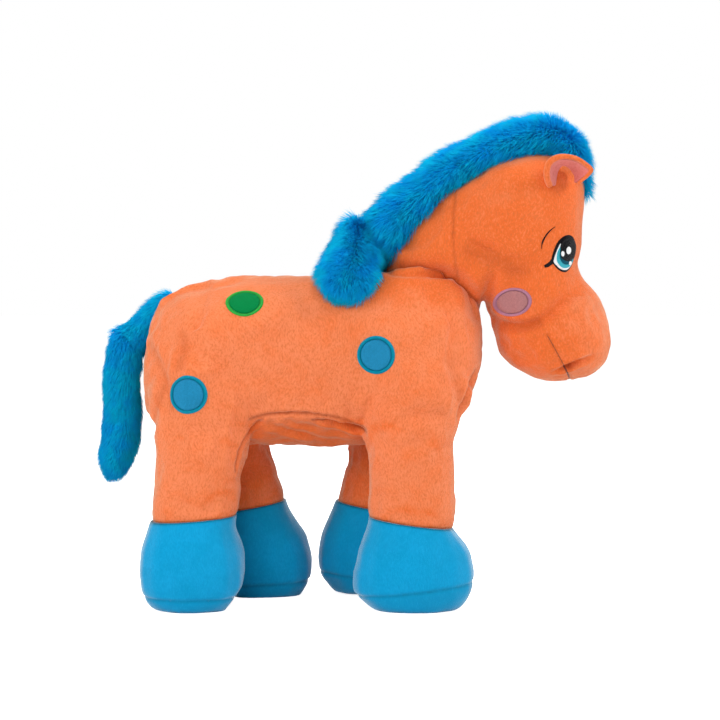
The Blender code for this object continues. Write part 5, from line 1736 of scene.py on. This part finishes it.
class HORSE_OT_face(bpy.types.Operator):
    """Stitch the eyes, the brows and the mouth"""

    bl_idname = "horse.face"
    bl_label = "Face"

    def execute(self, context):
        head = tree_of("head_skin")
        looks = {
            "black": (satin("black satin", BLACK, 0.4, 0.35, Turn=0.5), "black_thread"),
            "white": (satin("white satin", WHITE, 0.88, 0.4, Turn=0.5), "white_thread"),
            "aqua": (satin("aqua satin", AQUA, 0.7, 0.4, Turn=1.9), "aqua_thread"),
            "teal": (satin("teal satin", TEAL, 0.6, 0.4, Turn=1.9), "aqua_thread"),
        }
        lash = [Vector((*point, 0)) * MM for point in EYE_LASH]
        brow = [point * MM for point in curve_through([(*place, 0) for place in BROW], 4)]
        for side, word in SIDE_WORDS.items():
            centre = Vector((EYE_PLACE[0] * MM, side * FACE_SIDE, EYE_PLACE[1] * MM))
            pieces = [
                ("eye_black_", shaped_plate(EYE_OUTLINE, 0.45 * MM), "black", "eye_outline_"),
                ("eye_lash_", thread(lash, LASH_WIDTHS, 0.5 * MM), "black", None),
                ("eye_ball_", shaped_plate(EYE_WHITE, 0.7 * MM), "white", "eye_white_"),
                ("eye_ring_", ellipse((0.6, -1.8), (6.3, 8.4), 0.9 * MM), "aqua", "eye_iris_"),
                ("eye_dark_ring_", ellipse((1.4, -1.0), (5.0, 6.6), 1.15 * MM), "teal", None),
                ("eye_pupil_", shaped_plate(PUPIL, 1.45 * MM), "black", None),
                ("eye_shine_", ellipse((2.1, 2.4), (1.7, 2.6), 1.7 * MM), "white", None),
                ("eye_spark_", ellipse((-2.0, 0.3), (1.1, 1.9), 1.7 * MM), "white", None),
                ("eye_glint_", ellipse((3.9, -6.4), (1.0, 1.5), 1.45 * MM), "white", None),
                ("brow_thread_", thread(brow, brow_widths(len(brow)), 0.45 * MM), "black", "brow_"),
            ]
            for name, form, look, node in pieces:
                mark_stitches(form, 1 / MM)
                lay(form, head, centre, Vector((0, side, 0)), AHEAD, UP)
                nodes = [node + word] if node else []
                finish_skin(to_object(name + word, form), *looks[look], nodes, ["head"])
        finish_skin(mouth_thread(head), brown_thread(), "orange_thread", ["mouth_seam"], ["head"])
        return {"FINISHED"}


# Stage
CAMERA_PLACE = (5 * MM, -1597.8 * MM, 253.1 * MM)
CAMERA_AIM = (5 * MM, 0.0, 169.4 * MM)
LENS = 114.3
LAMP_AIM = (0, 0, 0.16)
LAMPS = {
    "front lamp": ((-0.35, -1.45, 0.95), 0.8, 9),
    "left lamp": ((-1.25, -0.8, 0.8), 0.6, 10),
    "right lamp": ((1.4, -0.3, 0.95), 0.6, 14),
    "top lamp": ((0.1, 0.1, 1.6), 0.8, 10),
    "rear lamp": ((0.3, 1.4, 0.8), 0.7, 6),
}
WHITE_LIGHT = (1, 1, 1, 1)


def aimed(name, data, place, aim):
    """A lamp or a camera at one place, turned towards another."""
    obj = in_scene(name, data)
    obj.location = place
    obj.rotation_euler = (Vector(aim) - Vector(place)).to_track_quat("-Z", "Y").to_euler()
    return obj


def seen_white(tree):
    """1 for rays from the camera, from gloss and through glass."""
    rays = add_node(tree, "LightPath").outputs
    first = maths(tree, "MAXIMUM", rays["Is Camera Ray"], rays["Is Glossy Ray"])
    return maths(tree, "MAXIMUM", first, rays["Is Transmission Ray"])


def pale_floor():
    made, tree, shader = new_material("pale floor")
    feed(tree, shader, {
        "Base Color": (0.9, 0.9, 0.9, 1),
        "Roughness": 0.9,
        "Specular IOR Level": 0.0,
        "Emission Color": WHITE_LIGHT,
        "Emission Strength": maths(tree, "MULTIPLY", seen_white(tree), 0.9),
    })
    return made


def soft_world(scene):
    """A dim white sky that the camera sees as plain white."""
    world = scene.world or bpy.data.worlds.new("soft light")
    scene.world = world
    world.use_nodes = True
    tree = world.node_tree
    tree.nodes.clear()
    fill = add_node(tree, "Background", {"Color": WHITE_LIGHT, "Strength": 0.23}).outputs[0]
    white = add_node(tree, "Background", {"Color": WHITE_LIGHT, "Strength": 1.0}).outputs[0]
    both = add_node(tree, "MixShader", {0: seen_white(tree), 1: fill, 2: white})
    add_node(tree, "OutputWorld", {0: both.outputs[0]})


class HORSE_OT_stage(bpy.types.Operator):
    """Set the floor, the soft light and the camera"""

    bl_idname = "horse.stage"
    bl_label = "Stage"

    def execute(self, context):
        bm = bmesh.new()
        bmesh.ops.create_grid(bm, x_segments=1, y_segments=1, size=6.0)
        floor = to_object("floor", bm)
        floor.data.materials.append(pale_floor())
        scene = context.scene
        soft_world(scene)
        for name, (place, size, power) in LAMPS.items():
            data = bpy.data.lights.new(name, "AREA")
            data.shape = "SQUARE"
            data.size = size
            data.energy = power
            aimed(name, data, place, LAMP_AIM)
        data = bpy.data.cameras.new("camera")
        data.lens = LENS
        data.sensor_width = 36
        data.clip_start = 0.05
        scene.camera = aimed("camera", data, CAMERA_PLACE, CAMERA_AIM)
        scene.view_settings.view_transform = "Standard"
        return {"FINISHED"}


OPERATORS = (
    HORSE_OT_stage,
    HORSE_OT_body,
    HORSE_OT_hooves,
    HORSE_OT_head,
    HORSE_OT_ears,
    HORSE_OT_spots,
    HORSE_OT_face,
    HORSE_OT_mane,
    HORSE_OT_tail,
)


class HORSE_PT_panel(bpy.types.Panel):
    """Steps that dress the plush horse"""

    bl_label = "Plush horse"
    bl_idname = "HORSE_PT_panel"
    bl_space_type = "VIEW_3D"
    bl_region_type = "UI"
    bl_category = "Plush horse"

    def draw(self, context):
        for settings in (context.scene.horse_cloth, context.scene.horse_sizes):
            for name in settings.__annotations__:
                self.layout.prop(settings, name)
        for step in OPERATORS:
            self.layout.operator(step.bl_idname)


CLASSES = (ClothSettings, SizeSettings, *OPERATORS, HORSE_PT_panel)


def register():
    for item in CLASSES:
        bpy.utils.register_class(item)
    bpy.types.Scene.horse_cloth = PointerProperty(type=ClothSettings)
    bpy.types.Scene.horse_sizes = PointerProperty(type=SizeSettings)


def unregister():
    del bpy.types.Scene.horse_sizes
    del bpy.types.Scene.horse_cloth
    for item in reversed(CLASSES):
        bpy.utils.unregister_class(item)


def main():
    register()
    for name in ("Cube", "Light", "Camera"):
        spare = bpy.data.objects.get(name)
        if spare:
            bpy.data.objects.remove(spare, do_unlink=True)
    for step in OPERATORS:
        group, action = step.bl_idname.split(".")
        getattr(getattr(bpy.ops, group), action)()


if __name__ == "__main__":
    main()
